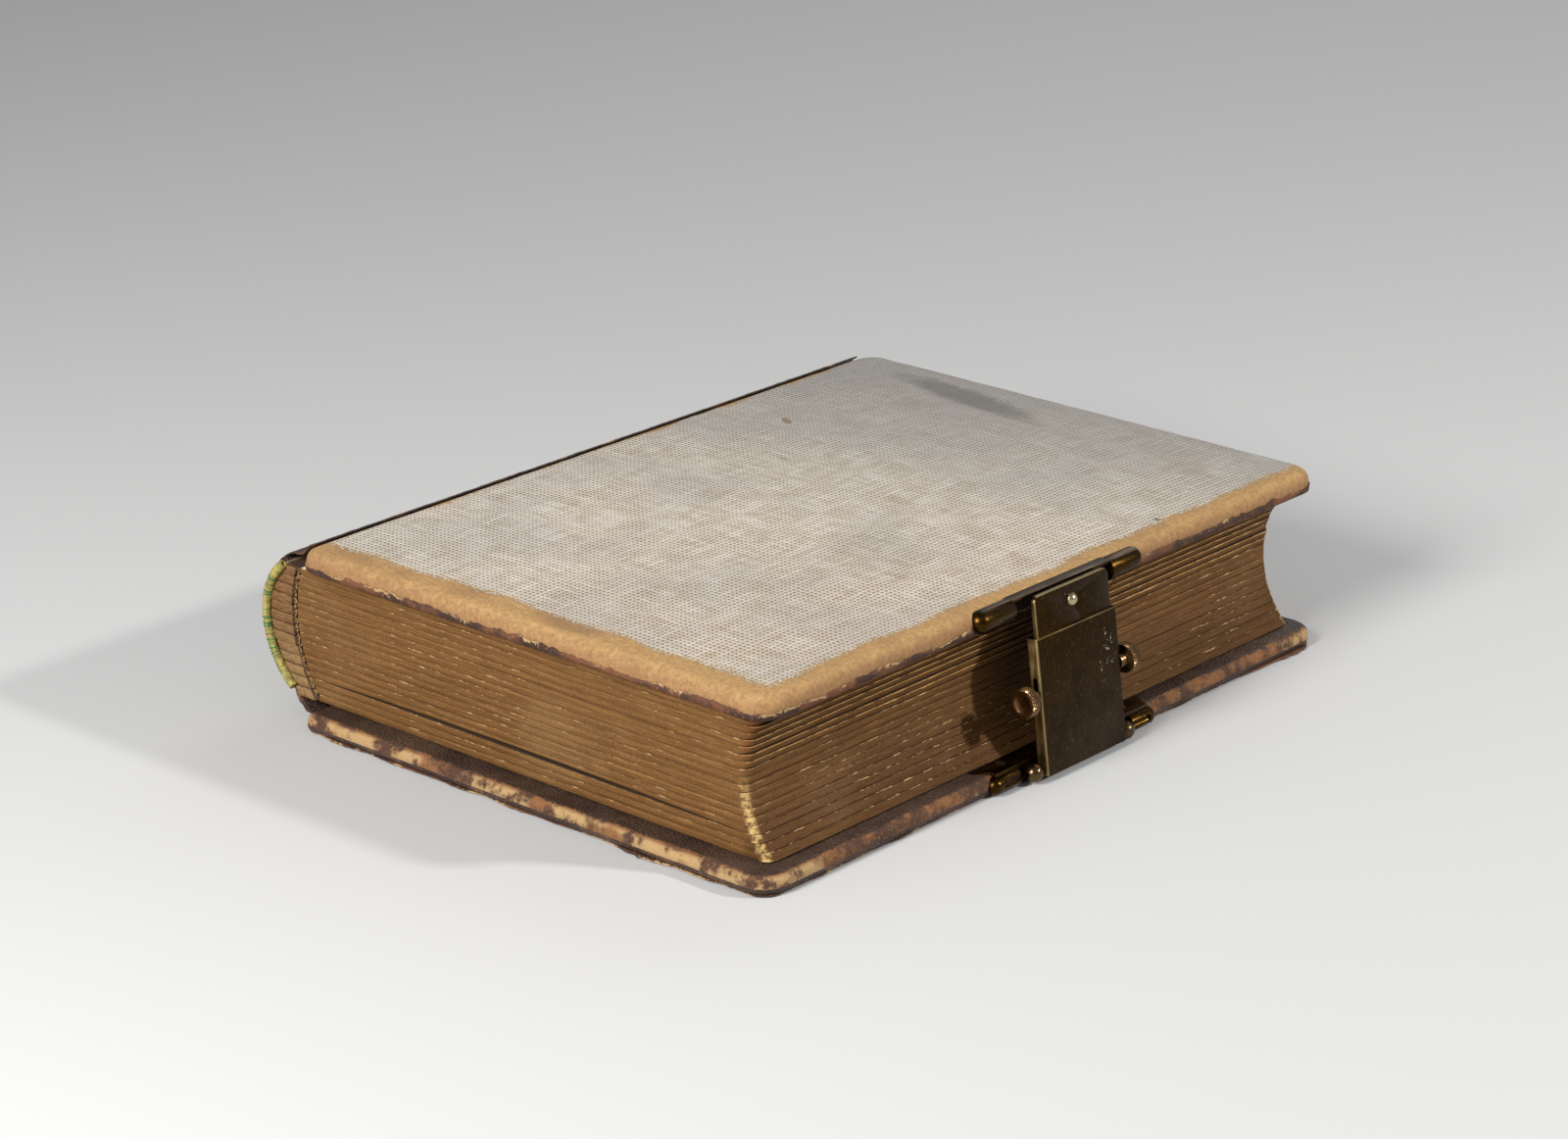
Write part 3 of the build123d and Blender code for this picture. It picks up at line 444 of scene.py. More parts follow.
def leather_material(leather, name, rubbed, cover_rim=False):
    """Grained dark leather, rubbed tan and torn to its fibres at the rims."""
    tree = Shading(name, 0.5, specular=0.35)
    place = tree.place
    grain = tree.group(leather_grain, {"Vector": place, "Size": leather.grain})
    broad = tree.cloudy(place, 0.11, 5.0, 0.6)
    fine = tree.cloudy(place, 0.8, 6.0, 0.68)
    sound = tree.mix(tree.ramp(broad, 0.35, 0.7), leather.dark, (0.085, 0.048, 0.030))
    sound = tree.mix(tree.times(grain["Crease"], 0.6), sound, (0.012, 0.008, 0.007))
    flecks = tree.cloudy(place, 1.5, 6.0, 0.75)
    smear = tree.cloudy(place, 0.24, 6.0, 0.62)
    worn = tree.mix(tree.ramp(smear, 0.40, 0.60), (0.058, 0.025, 0.013), leather.worn)
    worn = tree.mix(tree.ramp(flecks, 0.52, 0.68, 0.0, 0.5), worn, (0.33, 0.180, 0.070))
    if cover_rim:
        inset = tree.attribute("inset")
        distance = tree.minus(1.15, inset)
        edge = tree.group(ragged_line, {"Vector": place, "Distance": distance, "Sweep": 0.9, "Fray": 0.9})
        rub = edge["Mask"]
        # Long pale patches on the top of the roll, more of them towards the tail: torn fibres, partly a painted
        # highlight along the lit tail side
        painted_highlight_towards_tail = tree.ramp(tree.split(place)[1], -45.0, -75.0, 0.0, 0.11)
        long_patch = tree.ramp(tree.plus(tree.cloudy(place, 0.075, 2.0, 0.5), painted_highlight_towards_tail), 0.54, 0.60)
        tear = tree.times(tree.ramp(smear, 0.42, 0.55), tree.times(long_patch, rub))
        tear = tree.times(tear, tree.ramp(inset, 1.0, 0.3, 0.0, 0.85))
    else:
        rub = tree.times(tree.ramp(broad, 0.54, 0.68), rubbed)
        tear = tree.times(tree.ramp(tree.cloudy(place, 0.30, 6.0, 0.66), 0.57, 0.62), rub)
    colour = tree.mix(rub, sound, worn)
    colour = tree.mix(tear, colour, leather.torn)
    height = tree.times(grain["Height"], tree.times_plus(rub, -0.65, 1.0))
    height = tree.plus(height, tree.times(fine, 0.6))
    height = tree.plus(height, tree.times(tear, -0.7))
    roughness = tree.ramp(tree.plus(fine, tree.times(rub, 0.4)), 0.3, 1.0, 0.36, 0.85)
    return tree.shade(colour, height, 0.16, 0.9, Roughness=roughness)


def torn_material(leather):
    """What is left of the leather along a torn rim: dark skin with pale fibres at the tear."""
    tree = Shading("Torn leather", 0.7, specular=0.3)
    place = tree.place
    torn = tree.attribute("torn")
    fine = tree.cloudy(place, 1.3, 6.0, 0.7)
    patch = tree.cloudy(place, 0.09, 3.0)
    skin = tree.mix(tree.ramp(patch, 0.44, 0.58), (0.042, 0.019, 0.012), (0.135, 0.050, 0.022))
    skin = tree.mix(tree.ramp(fine, 0.54, 0.68), skin, (0.22, 0.100, 0.042))
    pale = tree.ramp(tree.plus(torn, tree.times(fine, 2.2)), 1.90, 2.02)
    pale = tree.times(pale, tree.ramp(tree.cloudy(place, 0.11, 3.0), 0.50, 0.58))
    return tree.shade(tree.mix(pale, skin, leather.torn), fine, 0.3, 0.9)


def gilt_material(leaves):
    """Aged gilt on the leaves' edges: laminations, pale chips in broken lines, stains, a bright worn corner."""
    tree = Shading("Aged gilt edges", 0.5, specular=0.12)
    place = tree.place
    x, _, z = tree.split(place)
    streaks = tree.cloudy(place, 1.0, 4.0, 0.6, (0.05, 0.05, 4.0))
    lines = tree.cloudy(place, 1.0, 3.0, 0.6, (0.16, 0.16, 9.0))
    broad = tree.cloudy(place, 0.045, 5.0, 0.6)
    speck = tree.cloudy(place, 2.2, 6.0, 0.8)
    edge = tree.attribute("edge")
    colour = tree.mix(tree.ramp(streaks, 0.30, 0.72), (0.108, 0.047, 0.013), leaves.gilt)
    colour = tree.mix(tree.ramp(lines, 0.52, 0.68, 0.0, 0.6), colour, (0.28, 0.140, 0.046))
    colour = tree.mix(tree.ramp(broad, 0.50, 0.70, 0.0, 0.40), colour, (0.235, 0.132, 0.052))
    colour = tree.mix(tree.ramp(speck, 0.55, 0.67, 0.0, 0.75), colour, (0.050, 0.024, 0.009))
    colour = tree.mix(tree.ramp(speck, 0.45, 0.33, 0.0, 0.5), colour, (0.33, 0.200, 0.085))
    dark_lines = tree.ramp(tree.cloudy(place, 1.0, 3.0, 0.6, (0.12, 0.12, 6.0)), 0.46, 0.34, 0.0, 0.55)
    colour = tree.mix(dark_lines, colour, (0.070, 0.034, 0.013))
    # Painted shade: the fore-edge is painted darker than the tail, as if it were less lit
    fore = tree.ramp(x, 44.0, 48.0)
    colour = tree.mix(tree.times(fore, 0.56), colour, (0.040, 0.0145, 0.003))
    lip = tree.ramp(edge, 0.70, 0.95)
    dashes = tree.cloudy(place, 1.0, 3.0, 0.75, (0.36, 0.36, 3.4))
    crowd = tree.ramp(tree.cloudy(place, 0.06, 3.0), 0.36, 0.54)
    chips = tree.times(tree.ramp(dashes, 0.560, 0.600), tree.times(lip, crowd))
    colour = tree.mix(chips, colour, (0.50, 0.34, 0.165))
    lit = tree.times(tree.ramp(edge, 1.1, 1.4), tree.ramp(dashes, 0.36, 0.52))
    colour = tree.mix(tree.times(lit, 0.85), colour, (0.50, 0.27, 0.085))
    # Painted highlight: a bright gold stripe painted in patches down the lower half of the near corner, which is also
    # made more metallic
    worn = tree.times(tree.ramp(tree.attribute("corner"), 0.35, 0.85), tree.ramp(z, 19.0, 12.0))
    worn = tree.times(worn, tree.ramp(tree.cloudy(place, 1.1, 6.0, 0.75), 0.40, 0.58))
    colour = tree.mix(tree.times(worn, 0.75), colour, (0.66, 0.46, 0.19))
    red = tree.times(tree.ramp(tree.attribute("corner"), 0.1, 0.9), tree.ramp(z, 17.0, 24.0))
    colour = tree.mix(tree.times(red, 0.5), colour, (0.21, 0.075, 0.026))
    shade = tree.times(tree.ramp(edge, -0.5, -1.0), 0.8)
    colour = tree.mix(shade, colour, (0.030, 0.016, 0.008))
    height = tree.plus(tree.times(lines, 0.6), tree.times(speck, 0.35))
    roughness = tree.ramp(speck, 0.3, 0.7, 0.50, 0.78)
    metallic = tree.times_plus(worn, 0.5, 0.18)
    return tree.shade(colour, height, 0.10, 0.8, Roughness=roughness, Metallic=metallic)


def paper_material(name, colour, dark, coarse=0.4):
    """Plain aged paper or card with fibres and foxing."""
    tree = Shading(name, 0.85, specular=0.2)
    place = tree.place
    broad = tree.cloudy(place, 0.05, 4.0)
    fine = tree.cloudy(place, 3.0, 5.0, 0.7)
    tint = tree.mix(tree.ramp(broad, 0.35, 0.7, 0.0, 0.35), colour, dark)
    tint = tree.mix(tree.ramp(fine, 0.45, 0.75, 0.0, coarse), tint, dark)
    foxing = tree.ramp(tree.cloudy(place, 0.4, 3.0, 0.6), 0.70, 0.76, 0.0, 0.5)
    colour = tree.mix(foxing, tint, (0.25, 0.14, 0.06))
    return tree.shade(colour, fine, 0.05, 0.7)


def stub_material():
    """Brown and buff paper stubs, dark in their joints."""
    tree = Shading("Stub paper", 0.8, specular=0.2)
    place = tree.place
    edge = tree.attribute("edge")
    fine = tree.cloudy(place, 1.6, 5.0, 0.7)
    streaks = tree.cloudy(place, 1.0, 3.0, 0.6, (0.5, 0.1, 4.0))
    lower = tree.ramp(tree.split(place)[2], 20.0, 8.0, 0.0, 0.65)
    colour = tree.mix(tree.ramp(streaks, 0.35, 0.65), (0.110, 0.050, 0.018), (0.19, 0.100, 0.040))
    colour = tree.mix(tree.times(lower, tree.ramp(fine, 0.3, 0.6)), colour, (0.28, 0.180, 0.078))
    colour = tree.mix(tree.ramp(fine, 0.58, 0.68, 0.0, 0.6), colour, (0.07, 0.034, 0.016))
    colour = tree.mix(tree.ramp(edge, 0.55, 0.98, 0.0, 0.85), colour, (0.05, 0.024, 0.014))
    return tree.shade(colour, fine, 0.2, 0.8)


def thread_material(name, colour):
    """Twisted silk thread."""
    tree = Shading(name, 0.55, specular=0.4)
    place = tree.place
    worn = tree.cloudy(place, 1.2, 4.0, 0.7)
    colour = tree.mix(tree.ramp(worn, 0.35, 0.65), scaled(colour, 0.35), colour)
    return tree.shade(colour, tree.cloudy(place, 6.0, 3.0), 0.06, 0.8)


def brass_material(name, colour, rubbed, roughness, bright, plate=None):
    """Aged brass: clouded and lightly scratched. A plate is brighter at two edges and nicked on its face."""
    tree = Shading(name, roughness, metallic=1.0)
    place = tree.place
    marks = tree.group(tarnish, {"Vector": place, "Size": 5.0})
    tint = tree.mix(tree.ramp(marks["Clouds"], 0.32, 0.66), scaled(colour, 0.55), colour)
    tint = tree.mix(tree.times(marks["Scratches"], 0.14 * bright), tint, rubbed)
    tint = tree.mix(tree.times(marks["Specks"], 0.45), tint, (0.035, 0.022, 0.012))
    rough = tree.ramp(marks["Clouds"], 0.3, 0.7, roughness + 0.12, roughness - 0.06)
    if plate:
        low, high = node_box(plate)
        _, y, z = tree.split(place)
        # Painted highlight, partly rubbed brass: the tail-side edge and the top edge are painted in the rubbed colour
        side = tree.ramp(y, low.y + 0.34, low.y + 0.10, 0.0, 0.6)
        rubbed_and_painted_highlight_edge = tree.calc("MAXIMUM", side, tree.ramp(z, high.z - 0.30, high.z - 0.10, 0.0, 0.45))
        tint = tree.mix(rubbed_and_painted_highlight_edge, tint, rubbed)
        leaning = tree.node("ShaderNodeVectorRotate", {"Vector": place, "Angle": 0.5}, rotation_type="X_AXIS")
        nicks = tree.cloudy(leaning, 1.0, 2.0, 0.5, (2.0, 3.4, 0.9))
        area = tree.group(soft_spot,
                          {"Vector": place, "Centre": (55.0, 9.4, 18.5), "Reach": (20, 3.4, 6.5), "Uneven": 0.9})
        scars = tree.times(tree.ramp(nicks, 0.675, 0.70), area["Mask"])
        tint = tree.mix(tree.times(scars, 0.8), tint, (0.70, 0.66, 0.58))
        rough = tree.plus(rough, tree.times(scars, 0.3))
    height = tree.times_plus(marks["Scratches"], -0.6, tree.times(marks["Clouds"], 0.5))
    return tree.shade(tint, height, 0.02, 0.6, Roughness=rough)


# Mesh helpers


def add_object(name, data):
    """A new object in the scene."""
    piece = bpy.data.objects.new(name, data)
    bpy.context.scene.collection.objects.link(piece)
    return piece


def grid_faces(lines, width, start=0, order=UPRIGHT):
    """Faces between points laid out in lines of one width."""
    near = (0, 1, width, width + 1)
    return [[start + line * width + k + near[corner] for corner in order] for line in range(lines - 1)
            for k in range(width - 1)]


def thicken(piece, thickness, offset):
    """Give a sheet its thickness, in millimetres."""
    shell = piece.modifiers.new("Thickness", "SOLIDIFY")
    shell.thickness = thickness * MM
    shell.offset = offset
    return piece


def finish_mesh(name, points, faces, materials, numbers=None, indices=None, smooth=True):
    """Make an object at the origin from points in millimetres."""
    mesh = bpy.data.meshes.new(name)
    mesh.from_pydata([(x * MM, y * MM, z * MM) for x, y, z in points], [], faces)
    for label, values in (numbers or {}).items():
        layer = mesh.attributes.new(label, "FLOAT", "POINT")
        layer.data.foreach_set("value", values)
    for material in materials:
        mesh.materials.append(material)
    if indices:
        mesh.polygons.foreach_set("material_index", indices)
    mesh.polygons.foreach_set("use_smooth", [smooth] * len(mesh.polygons))
    mesh.update()
    return add_object(name, mesh)


def ripple(x, y, z, size, seed=0.0):
    """Smooth noise between about -1 and 1 with features of the given size."""
    return noise.noise(Vector((x / size + seed * 7.3, y / size - seed * 3.1, z / size + seed)))


def stations(half, roll, step):
    """Positions across a slab, closer together where its rims roll over."""
    rim = [half - roll * (1 - cos(k * pi / 16)) for k in range(9)]
    count = max(2, round(2 * rim[-1] / step))
    middle = [rim[-1] * (2 * k / count - 1) for k in range(1, count)]
    return [-value for value in rim] + middle + rim[::-1]


def cover_slab(name, low, high, corners, top_roll, under_roll, crown, wear, materials, seed):
    """A closed cover board with rolled rims, rounded corners and a crown; its underside has the second material."""
    half = ((high.x - low.x) / 2, (high.y - low.y) / 2)
    centre = ((high.x + low.x) / 2, (high.y + low.y) / 2)
    points, inset, faces, indices, rings = [], [], [], [], []
    for side, roll in ((1, top_roll), (-1, under_roll)):
        xs, ys = stations(half[0], top_roll, 1.6), stations(half[1], top_roll, 1.6)
        start = len(points)
        for y in ys:
            for x in xs:
                away = min(half[0] - abs(x), half[1] - abs(y))
                corner = corners[2] if x > 0 else corners[y > 0]
                over = (abs(x) - half[0] + corner, abs(y) - half[1] + corner)
                px, py = x, y
                if over[0] > 0 and over[1] > 0:
                    pull = max(over) / hypot(*over)
                    px = (half[0] - corner + over[0] * pull) * (1 if x > 0 else -1)
                    py = (half[1] - corner + over[1] * pull) * (1 if y > 0 else -1)
                share = max(0.0, 1 - away / roll)
                drop = roll * (1 - max(0.0, 1 - share ** 2) ** 0.5)
                px, py = px + centre[0], py + centre[1]
                chipped = wear * max(0.0, ripple(px, py, side * 9, 4.0, seed)) * (1 - min(1, away / (2 * roll)))
                if side > 0:
                    rise = crown * (1 - (x / half[0]) ** 2) * (1 - (y / half[1]) ** 4)
                    rise += 0.10 * ripple(px, py, 0, 22.0, seed) * min(1, away / 4)
                    z = high.z - drop + rise - chipped
                else:
                    z = low.z + drop + chipped * 0.5
                points.append((px, py, z))
                inset.append(away if side > 0 else min(away, 0.6))
        wide, tall = len(xs), len(ys)
        faces += grid_faces(tall, wide, start, UPRIGHT if side > 0 else FLIPPED)
        indices += [0 if side > 0 else 1] * (len(faces) - len(indices))
        ring = [start + i for i in range(wide)] + [start + j * wide + wide - 1 for j in range(1, tall)]
        ring += [start + (tall - 1) * wide + i for i in range(wide - 2, -1, -1)]
        ring += [start + j * wide for j in range(tall - 2, 0, -1)]
        rings.append(ring)
    upper, lower = rings
    previous = upper
    for step in (1, 2, 3):
        if step < 3:
            current = []
            for above, below in zip(upper, lower):
                share = step / 3
                mixed = [points[above][k] * (1 - share) + points[below][k] * share for k in range(3)]
                dent = wear * 0.5 * ripple(*mixed, 3.0, seed + 2)
                reach = max(hypot(mixed[0] - centre[0], mixed[1] - centre[1]), 1)
                mixed[0] += dent * (mixed[0] - centre[0]) / reach
                mixed[1] += dent * (mixed[1] - centre[1]) / reach
                current.append(len(points))
                points.append(tuple(mixed))
                inset.append(0.0)
        else:
            current = lower
        for k in range(len(upper)):
            after = (k + 1) % len(upper)
            faces.append([previous[k], current[k], current[after], previous[after]])
            indices.append(0)
        previous = current
    return finish_mesh(name, points, faces, materials, {"inset": inset}, indices)


def rim_path(low, high, corners, step):
    """Points round a cover's outline, each with its outward direction, from the spine's tail end to its head end."""
    half = ((high.x - low.x) / 2, (high.y - low.y) / 2)
    centre = ((high.x + low.x) / 2, (high.y + low.y) / 2)
    turns = ((-1, -1, corners[0], -pi), (1, -1, corners[2], -pi / 2), (1, 1, corners[2], 0),
             (-1, 1, corners[1], pi / 2))
    path = []
    for side_x, side_y, corner, start in turns:
        middle = (centre[0] + side_x * (half[0] - corner), centre[1] + side_y * (half[1] - corner))
        angles = [start + k * pi / (2 * QUARTER_STEPS) for k in range(QUARTER_STEPS + 1)]
        arc = [(middle[0] + corner * cos(angle), middle[1] + corner * sin(angle), cos(angle), sin(angle))
               for angle in angles]
        if path:
            first, last = path[-1], arc[0]
            count = round(hypot(last[0] - first[0], last[1] - first[1]) / step)
            path += [(first[0] + (last[0] - first[0]) * k / count, first[1] + (last[1] - first[1]) * k / count,
                      cos(start), sin(start)) for k in range(1, count)]
        path += arc
    return path


def torn_ribbon(name, path, profile, material, thickness):
    """A thin torn strip along a rim. profile gives, at one place, its points as (outward, height, torn)."""
    points, torn = [], []
    for x, y, nx, ny in path:
        section = profile(x, y)
        for outward, height, share in section:
            points.append((x + nx * outward, y + ny * outward, height))
            torn.append(share)
    faces = grid_faces(len(path), len(section), order=CROSSWISE)
    return thicken(finish_mesh(name, points, faces, [material], {"torn": torn}), thickness, 1.0)


def apply_modifiers(piece):
    """Turn a piece's modifiers into plain mesh."""
    evaluated = piece.evaluated_get(bpy.context.evaluated_depsgraph_get())
    mesh = bpy.data.meshes.new_from_object(evaluated)
    piece.modifiers.clear()
    piece.data = mesh
    return piece


def bevelled_copy(name, node, radius, material):
    """A copy of a metal CAD node with its sharp edges eased, so that they catch the light."""
    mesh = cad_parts[node].data.copy()
    work = bmesh.new()
    work.from_mesh(mesh)
    bmesh.ops.remove_doubles(work, verts=work.verts, dist=0.002 * MM)
    bmesh.ops.dissolve_limit(work, angle_limit=radians(1.0), verts=work.verts, edges=work.edges)
    work.to_mesh(mesh)
    work.free()
    mesh.materials.clear()
    mesh.materials.append(material)
    piece = add_object(name, mesh)
    bevel = piece.modifiers.new("Eased edges", "BEVEL")
    bevel.width = radius
    bevel.segments = 2
    bevel.limit_method = "ANGLE"
    bevel.angle_limit = radians(40)
    apply_modifiers(piece)
    piece.data.polygons.foreach_set("use_smooth", [True] * len(piece.data.polygons))
    piece.data.set_sharp_from_angle(angle=radians(35))
    return piece


def dress(node, material):
    """Give a CAD node its material."""
    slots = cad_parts[node].material_slots
    if not slots:
        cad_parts[node].data.materials.append(material)
    for slot in slots:
        slot.material = material


def made(operator, *pieces):
    """Report what an operator made."""
    operator.report({"INFO"}, ", ".join(piece.name for piece in pieces))
    return {"FINISHED"}


# Operators


class ALBUM_OT_front_cover(bpy.types.Operator):
    """Make the worn front cover"""

    bl_idname = "album.front_cover"
    bl_label = "Front Cover"

    def execute(self, context):
        scene = context.scene
        low, high = node_box("front_board")
        rim_low = node_box("front_leather")[0]
        low.z = rim_low.z + 0.06
        high.z = high.z - 0.55
        turned_in = leather_material(scene.album_leather, "Turned-in leather", 0.5)
        slab = cover_slab("front_cover_board", low, high, FRONT_CORNERS, 2.3, 0.5, 0.85, 0.22,
                          [front_board_material(scene.album_cloth), turned_in], 1.0)
        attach(slab, "front_cover")
        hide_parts("front_board", "front_cloth")

        def remnant(x, y):
            reach = 1.0 + 0.55 * ripple(x, y, 3, 14.0, 4) + 0.45 * ripple(x, y, 5, 2.2, 5)
            reach = max(0.25, reach + 0.30 * ripple(x, y, 1, 0.7, 8))
            lift = 0.10 + 0.10 * max(0, ripple(x, y, 2, 3.0, 6))
            foot = rim_low.z
            return [(-2.0, foot + 0.05, 0), (-1.0, foot + 0.02, 0), (-0.25, foot + 0.06, 0.1),
                    (0.02, foot + 0.22, 0.3), (lift * 0.6, foot + 0.25 + reach * 0.5, 0.65),
                    (lift, foot + 0.3 + reach, 1.0)]

        rim = torn_ribbon("front_rim_leather", rim_path(low, high, FRONT_CORNERS, RIM_STEP), remnant,
                          torn_material(scene.album_leather), 0.12)
        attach(rim, "front_cover")
        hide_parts("front_leather")
        dress("front_pastedown", paper_material("Endpaper", (0.60, 0.54, 0.42), (0.42, 0.33, 0.22)))
        return made(self, slab, rim)


class ALBUM_OT_back_cover(bpy.types.Operator):
    """Make the back cover in rubbed leather"""

    bl_idname = "album.back_cover"
    bl_label = "Back Cover"

    def execute(self, context):
        leather = context.scene.album_leather
        low, high = node_box("back_board")
        low, high = low - Vector((0.5, 0.5, 0.5)), high + Vector((0.5, 0.5, 0.0))
        slab = cover_slab("back_cover_leather", low, high, BACK_CORNERS, 1.6, 1.6, 0.0, 0.16,
                          [leather_material(leather, "Rubbed cover leather", 1.0, cover_rim=True),
                           bpy.data.materials["Turned-in leather"]], 3.0)
        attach(slab, "back_cover")
        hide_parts("back_leather")

        def flake(x, y):
            amount = max(0.0, ripple(x, y, 7, 9.0, 11) + 0.12)
            reach = 0.1 + 1.3 * amount + 0.35 * amount * ripple(x, y, 9, 1.0, 12)
            tip = 0.30 + 0.4 * amount * ripple(x, y, 4, 2.0, 13)
            return [(-1.3, 0.12, 0), (-0.9, 0.24, 0.2), (-0.55, 0.42, 0.5),
                    (-0.55 + reach * 0.5, 0.42 + 0.1 * amount, 0.8), (-0.55 + reach * 0.9, tip, 1.0)]

        flakes = torn_ribbon("back_rim_flakes", rim_path(low, high, BACK_CORNERS, RIM_STEP), flake,
                             torn_material(leather), 0.1)
        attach(flakes, "back_cover")
        board = paper_material("Board", (0.42, 0.30, 0.17), (0.26, 0.17, 0.09), 0.7)
        dress("back_board", board)
        dress("back_pastedown", bpy.data.materials["Endpaper"])
        return made(self, slab, flakes)


def arc_across(first, middle, last, height):
    """X at one height of the arc through three points given as X and Z."""
    (x1, z1), (x2, z2), (x3, z3) = first, middle, last
    det = 2 * ((x2 - x1) * (z3 - z1) - (x3 - x1) * (z2 - z1))
    a, b = (x2 - x1) * (x2 + x1) + (z2 - z1) * (z2 + z1), (x3 - x1) * (x3 + x1) + (z3 - z1) * (z3 + z1)
    cx, cz = ((z3 - z1) * a - (z2 - z1) * b) / det, ((x2 - x1) * b - (x3 - x1) * a) / det
    radius = hypot(x1 - cx, z1 - cz)
    side = 1 if x2 > cx else -1
    return cx + side * max(0.0, radius ** 2 - (height - cz) ** 2) ** 0.5


def fore_edge(height):
    """X of the hollow fore-edge at one height."""
    middle = ((FORE_FOOT[0] + FORE_HEAD[0]) / 2 - FORE_HOLLOW, (FORE_FOOT[1] + FORE_HEAD[1]) / 2)
    return arc_across(FORE_FOOT, middle, FORE_HEAD, height)


def seam(height):
    """X at one height where the leaves meet their stubs."""
    return arc_across(*SEAM, height)


class ALBUM_OT_leaves(bpy.types.Operator):
    """Make the stack of card leaves with aged gilt edges"""

    bl_idname = "album.leaves"
    bl_label = "Leaves"

    def execute(self, context):
        settings = context.scene.album_leaves
        low, high = node_box("leaves")
        tail, head = low.y, high.y
        thick = (high.z - low.z) / settings.count
        uneven = settings.unevenness * 1000
        gilt, page = gilt_material(settings), paper_material("Card page", settings.page, (0.44, 0.34, 0.21))
        # Painted shade: the faces inside the stack and round the core get near-black paper so that the gaps between
        # leaves read as shade
        depth = paper_material("Between leaves", (0.035, 0.020, 0.011), (0.015, 0.009, 0.005))
        points, edge, corners, faces, indices = [], [], [], [], []
        for leaf in range(settings.count):
            seed = settings.seed + leaf * 1.7
            upper = leaf >= settings.count - LOOSE_LEAVES
            fore_gap = max(0.05, (0.27 if upper else 0.07) + 0.10 * ripple(leaf, 0, 0, 1.3, seed))
            floor, ceiling = low.z + leaf * thick, low.z + (leaf + 1) * thick
            middle = (floor + ceiling) / 2
            spine_x, fore_x = seam(middle) + 0.35, fore_edge(middle)
            fore_slope = (fore_edge(ceiling) - fore_edge(floor)) / 2
            stand = uneven * (2.2 if upper else 0.7) * ripple(leaf, 3, 1, 1.1, seed)
            span, length = fore_x - LEAF_CORNER - spine_x, head - tail - 2 * LEAF_CORNER
            path = [(spine_x + span * k / SIDE_STEPS, tail, 0, -1) for k in range(SIDE_STEPS)]
            for side, start in ((-1, -pi / 2), (1, 0)):
                along = tail + LEAF_CORNER if side < 0 else head - LEAF_CORNER
                for k in range(QUARTER_STEPS + 1):
                    angle = start + k * pi / (2 * QUARTER_STEPS)
                    path.append((fore_x - LEAF_CORNER + LEAF_CORNER * cos(angle), along + LEAF_CORNER * sin(angle),
                                 cos(angle), sin(angle)))
                if side < 0:
                    path += [(fore_x, tail + LEAF_CORNER + length * k / FORE_STEPS, 1, 0)
                             for k in range(1, FORE_STEPS)]
            path += [(fore_x - LEAF_CORNER - span * k / SIDE_STEPS, head, 0, 1) for k in range(1, SIDE_STEPS + 1)]
            start = len(points)
            for x, y, nx, ny in path:
                wave = stand * (0.35 + 0.65 * nx) + 0.08 * ripple(x, y, leaf * 5, 12.0, seed)
                wave += 0.03 * ripple(x, y, leaf * 5, 2.5, seed)
                lens = 0.0
                if leaf == SPLIT_LEAF and ny < -0.5:
                    share = (x - spine_x) / (fore_x - spine_x)
                    lens = SPLIT_OPENING * max(0.0, sin(pi * min(1, max(0, share * 1.06 - 0.03)))) ** 0.7
                gap = 0.02 + (fore_gap - 0.02) * nx ** 2
                ease = 0.035 + 0.05 * nx ** 2
                bottom, top = floor + gap / 2 + lens, ceiling - gap / 2
                slope = fore_slope * nx
                lip = 1.5 if upper and nx > 0.6 else 1.0
                section = [(-STRIP_DEPTH, top, -1.0), (slope - ease, top, lip), (slope, top - ease, lip),
                           (0.02, (bottom + top) / 2, 0.0), (-slope, bottom + ease, 0.8),
                           (-slope - ease, bottom, 0.0), (-STRIP_DEPTH, floor + gap / 2, -1.0)]
                for outward, height, share in section:
                    reach = outward + (wave if outward > -1 else 0)
                    points.append((x + nx * reach, y + ny * reach, height))
                    edge.append(share)
                    corners.append(1.41 * min(nx, abs(ny)))
            rows = len(section)
            for index in range(len(path) - 1):
                for row in range(rows):
                    first, second = start + index * rows + row, start + index * rows + (row + 1) % rows
                    faces.append([first, second, second + rows, first + rows])
                    # Faces inside the stack take the near-black painted shade; only the top of the last leaf and the
                    # bottom of the first show the page
                    outside = (row == 0 and leaf == settings.count - 1) or (row == rows - 2 and leaf == 0)
                    indices.append(1 if outside else 2 if row in (0, rows - 2, rows - 1) else 0)
            end = start + (len(path) - 1) * rows
            faces += [[start + row for row in reversed(range(rows))], [end + row for row in range(rows)]]
            indices += [2, 2]
        numbers = {"edge": edge, "corner": corners}
        stack = finish_mesh("leaf_edges", points, faces, [gilt, page, depth], numbers, indices)
        stack.data.set_sharp_from_angle(angle=radians(50))
        points, faces = [], []
        for step in range(CORE_STEPS + 1):
            level = low.z + 0.04 + (high.z - low.z - 0.08) * step / CORE_STEPS
            inner, outer = seam(level) + 1.6, fore_edge(level) - 1.1
            points += [(inner, tail + 1.1, level), (outer, tail + 1.1, level), (outer, head - 1.1, level),
                       (inner, head - 1.1, level)]
        for step in range(CORE_STEPS):
            for side in range(4):
                after = (side + 1) % 4
                faces.append([4 * step + side, 4 * step + after, 4 * step + 4 + after, 4 * step + 4 + side])
        sides, last = len(faces), 4 * CORE_STEPS
        faces += [[3, 2, 1, 0], [last, last + 1, last + 2, last + 3]]
        # The core's sides are in the near-black painted shade, and its top and bottom are page
        core = finish_mesh("leaf_core", points, faces, [depth, page], None, [0] * sides + [1, 1], smooth=False)
        for piece in (stack, core):
            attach(piece, "leaf_block")
        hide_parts("leaves")
        return made(self, stack, core)


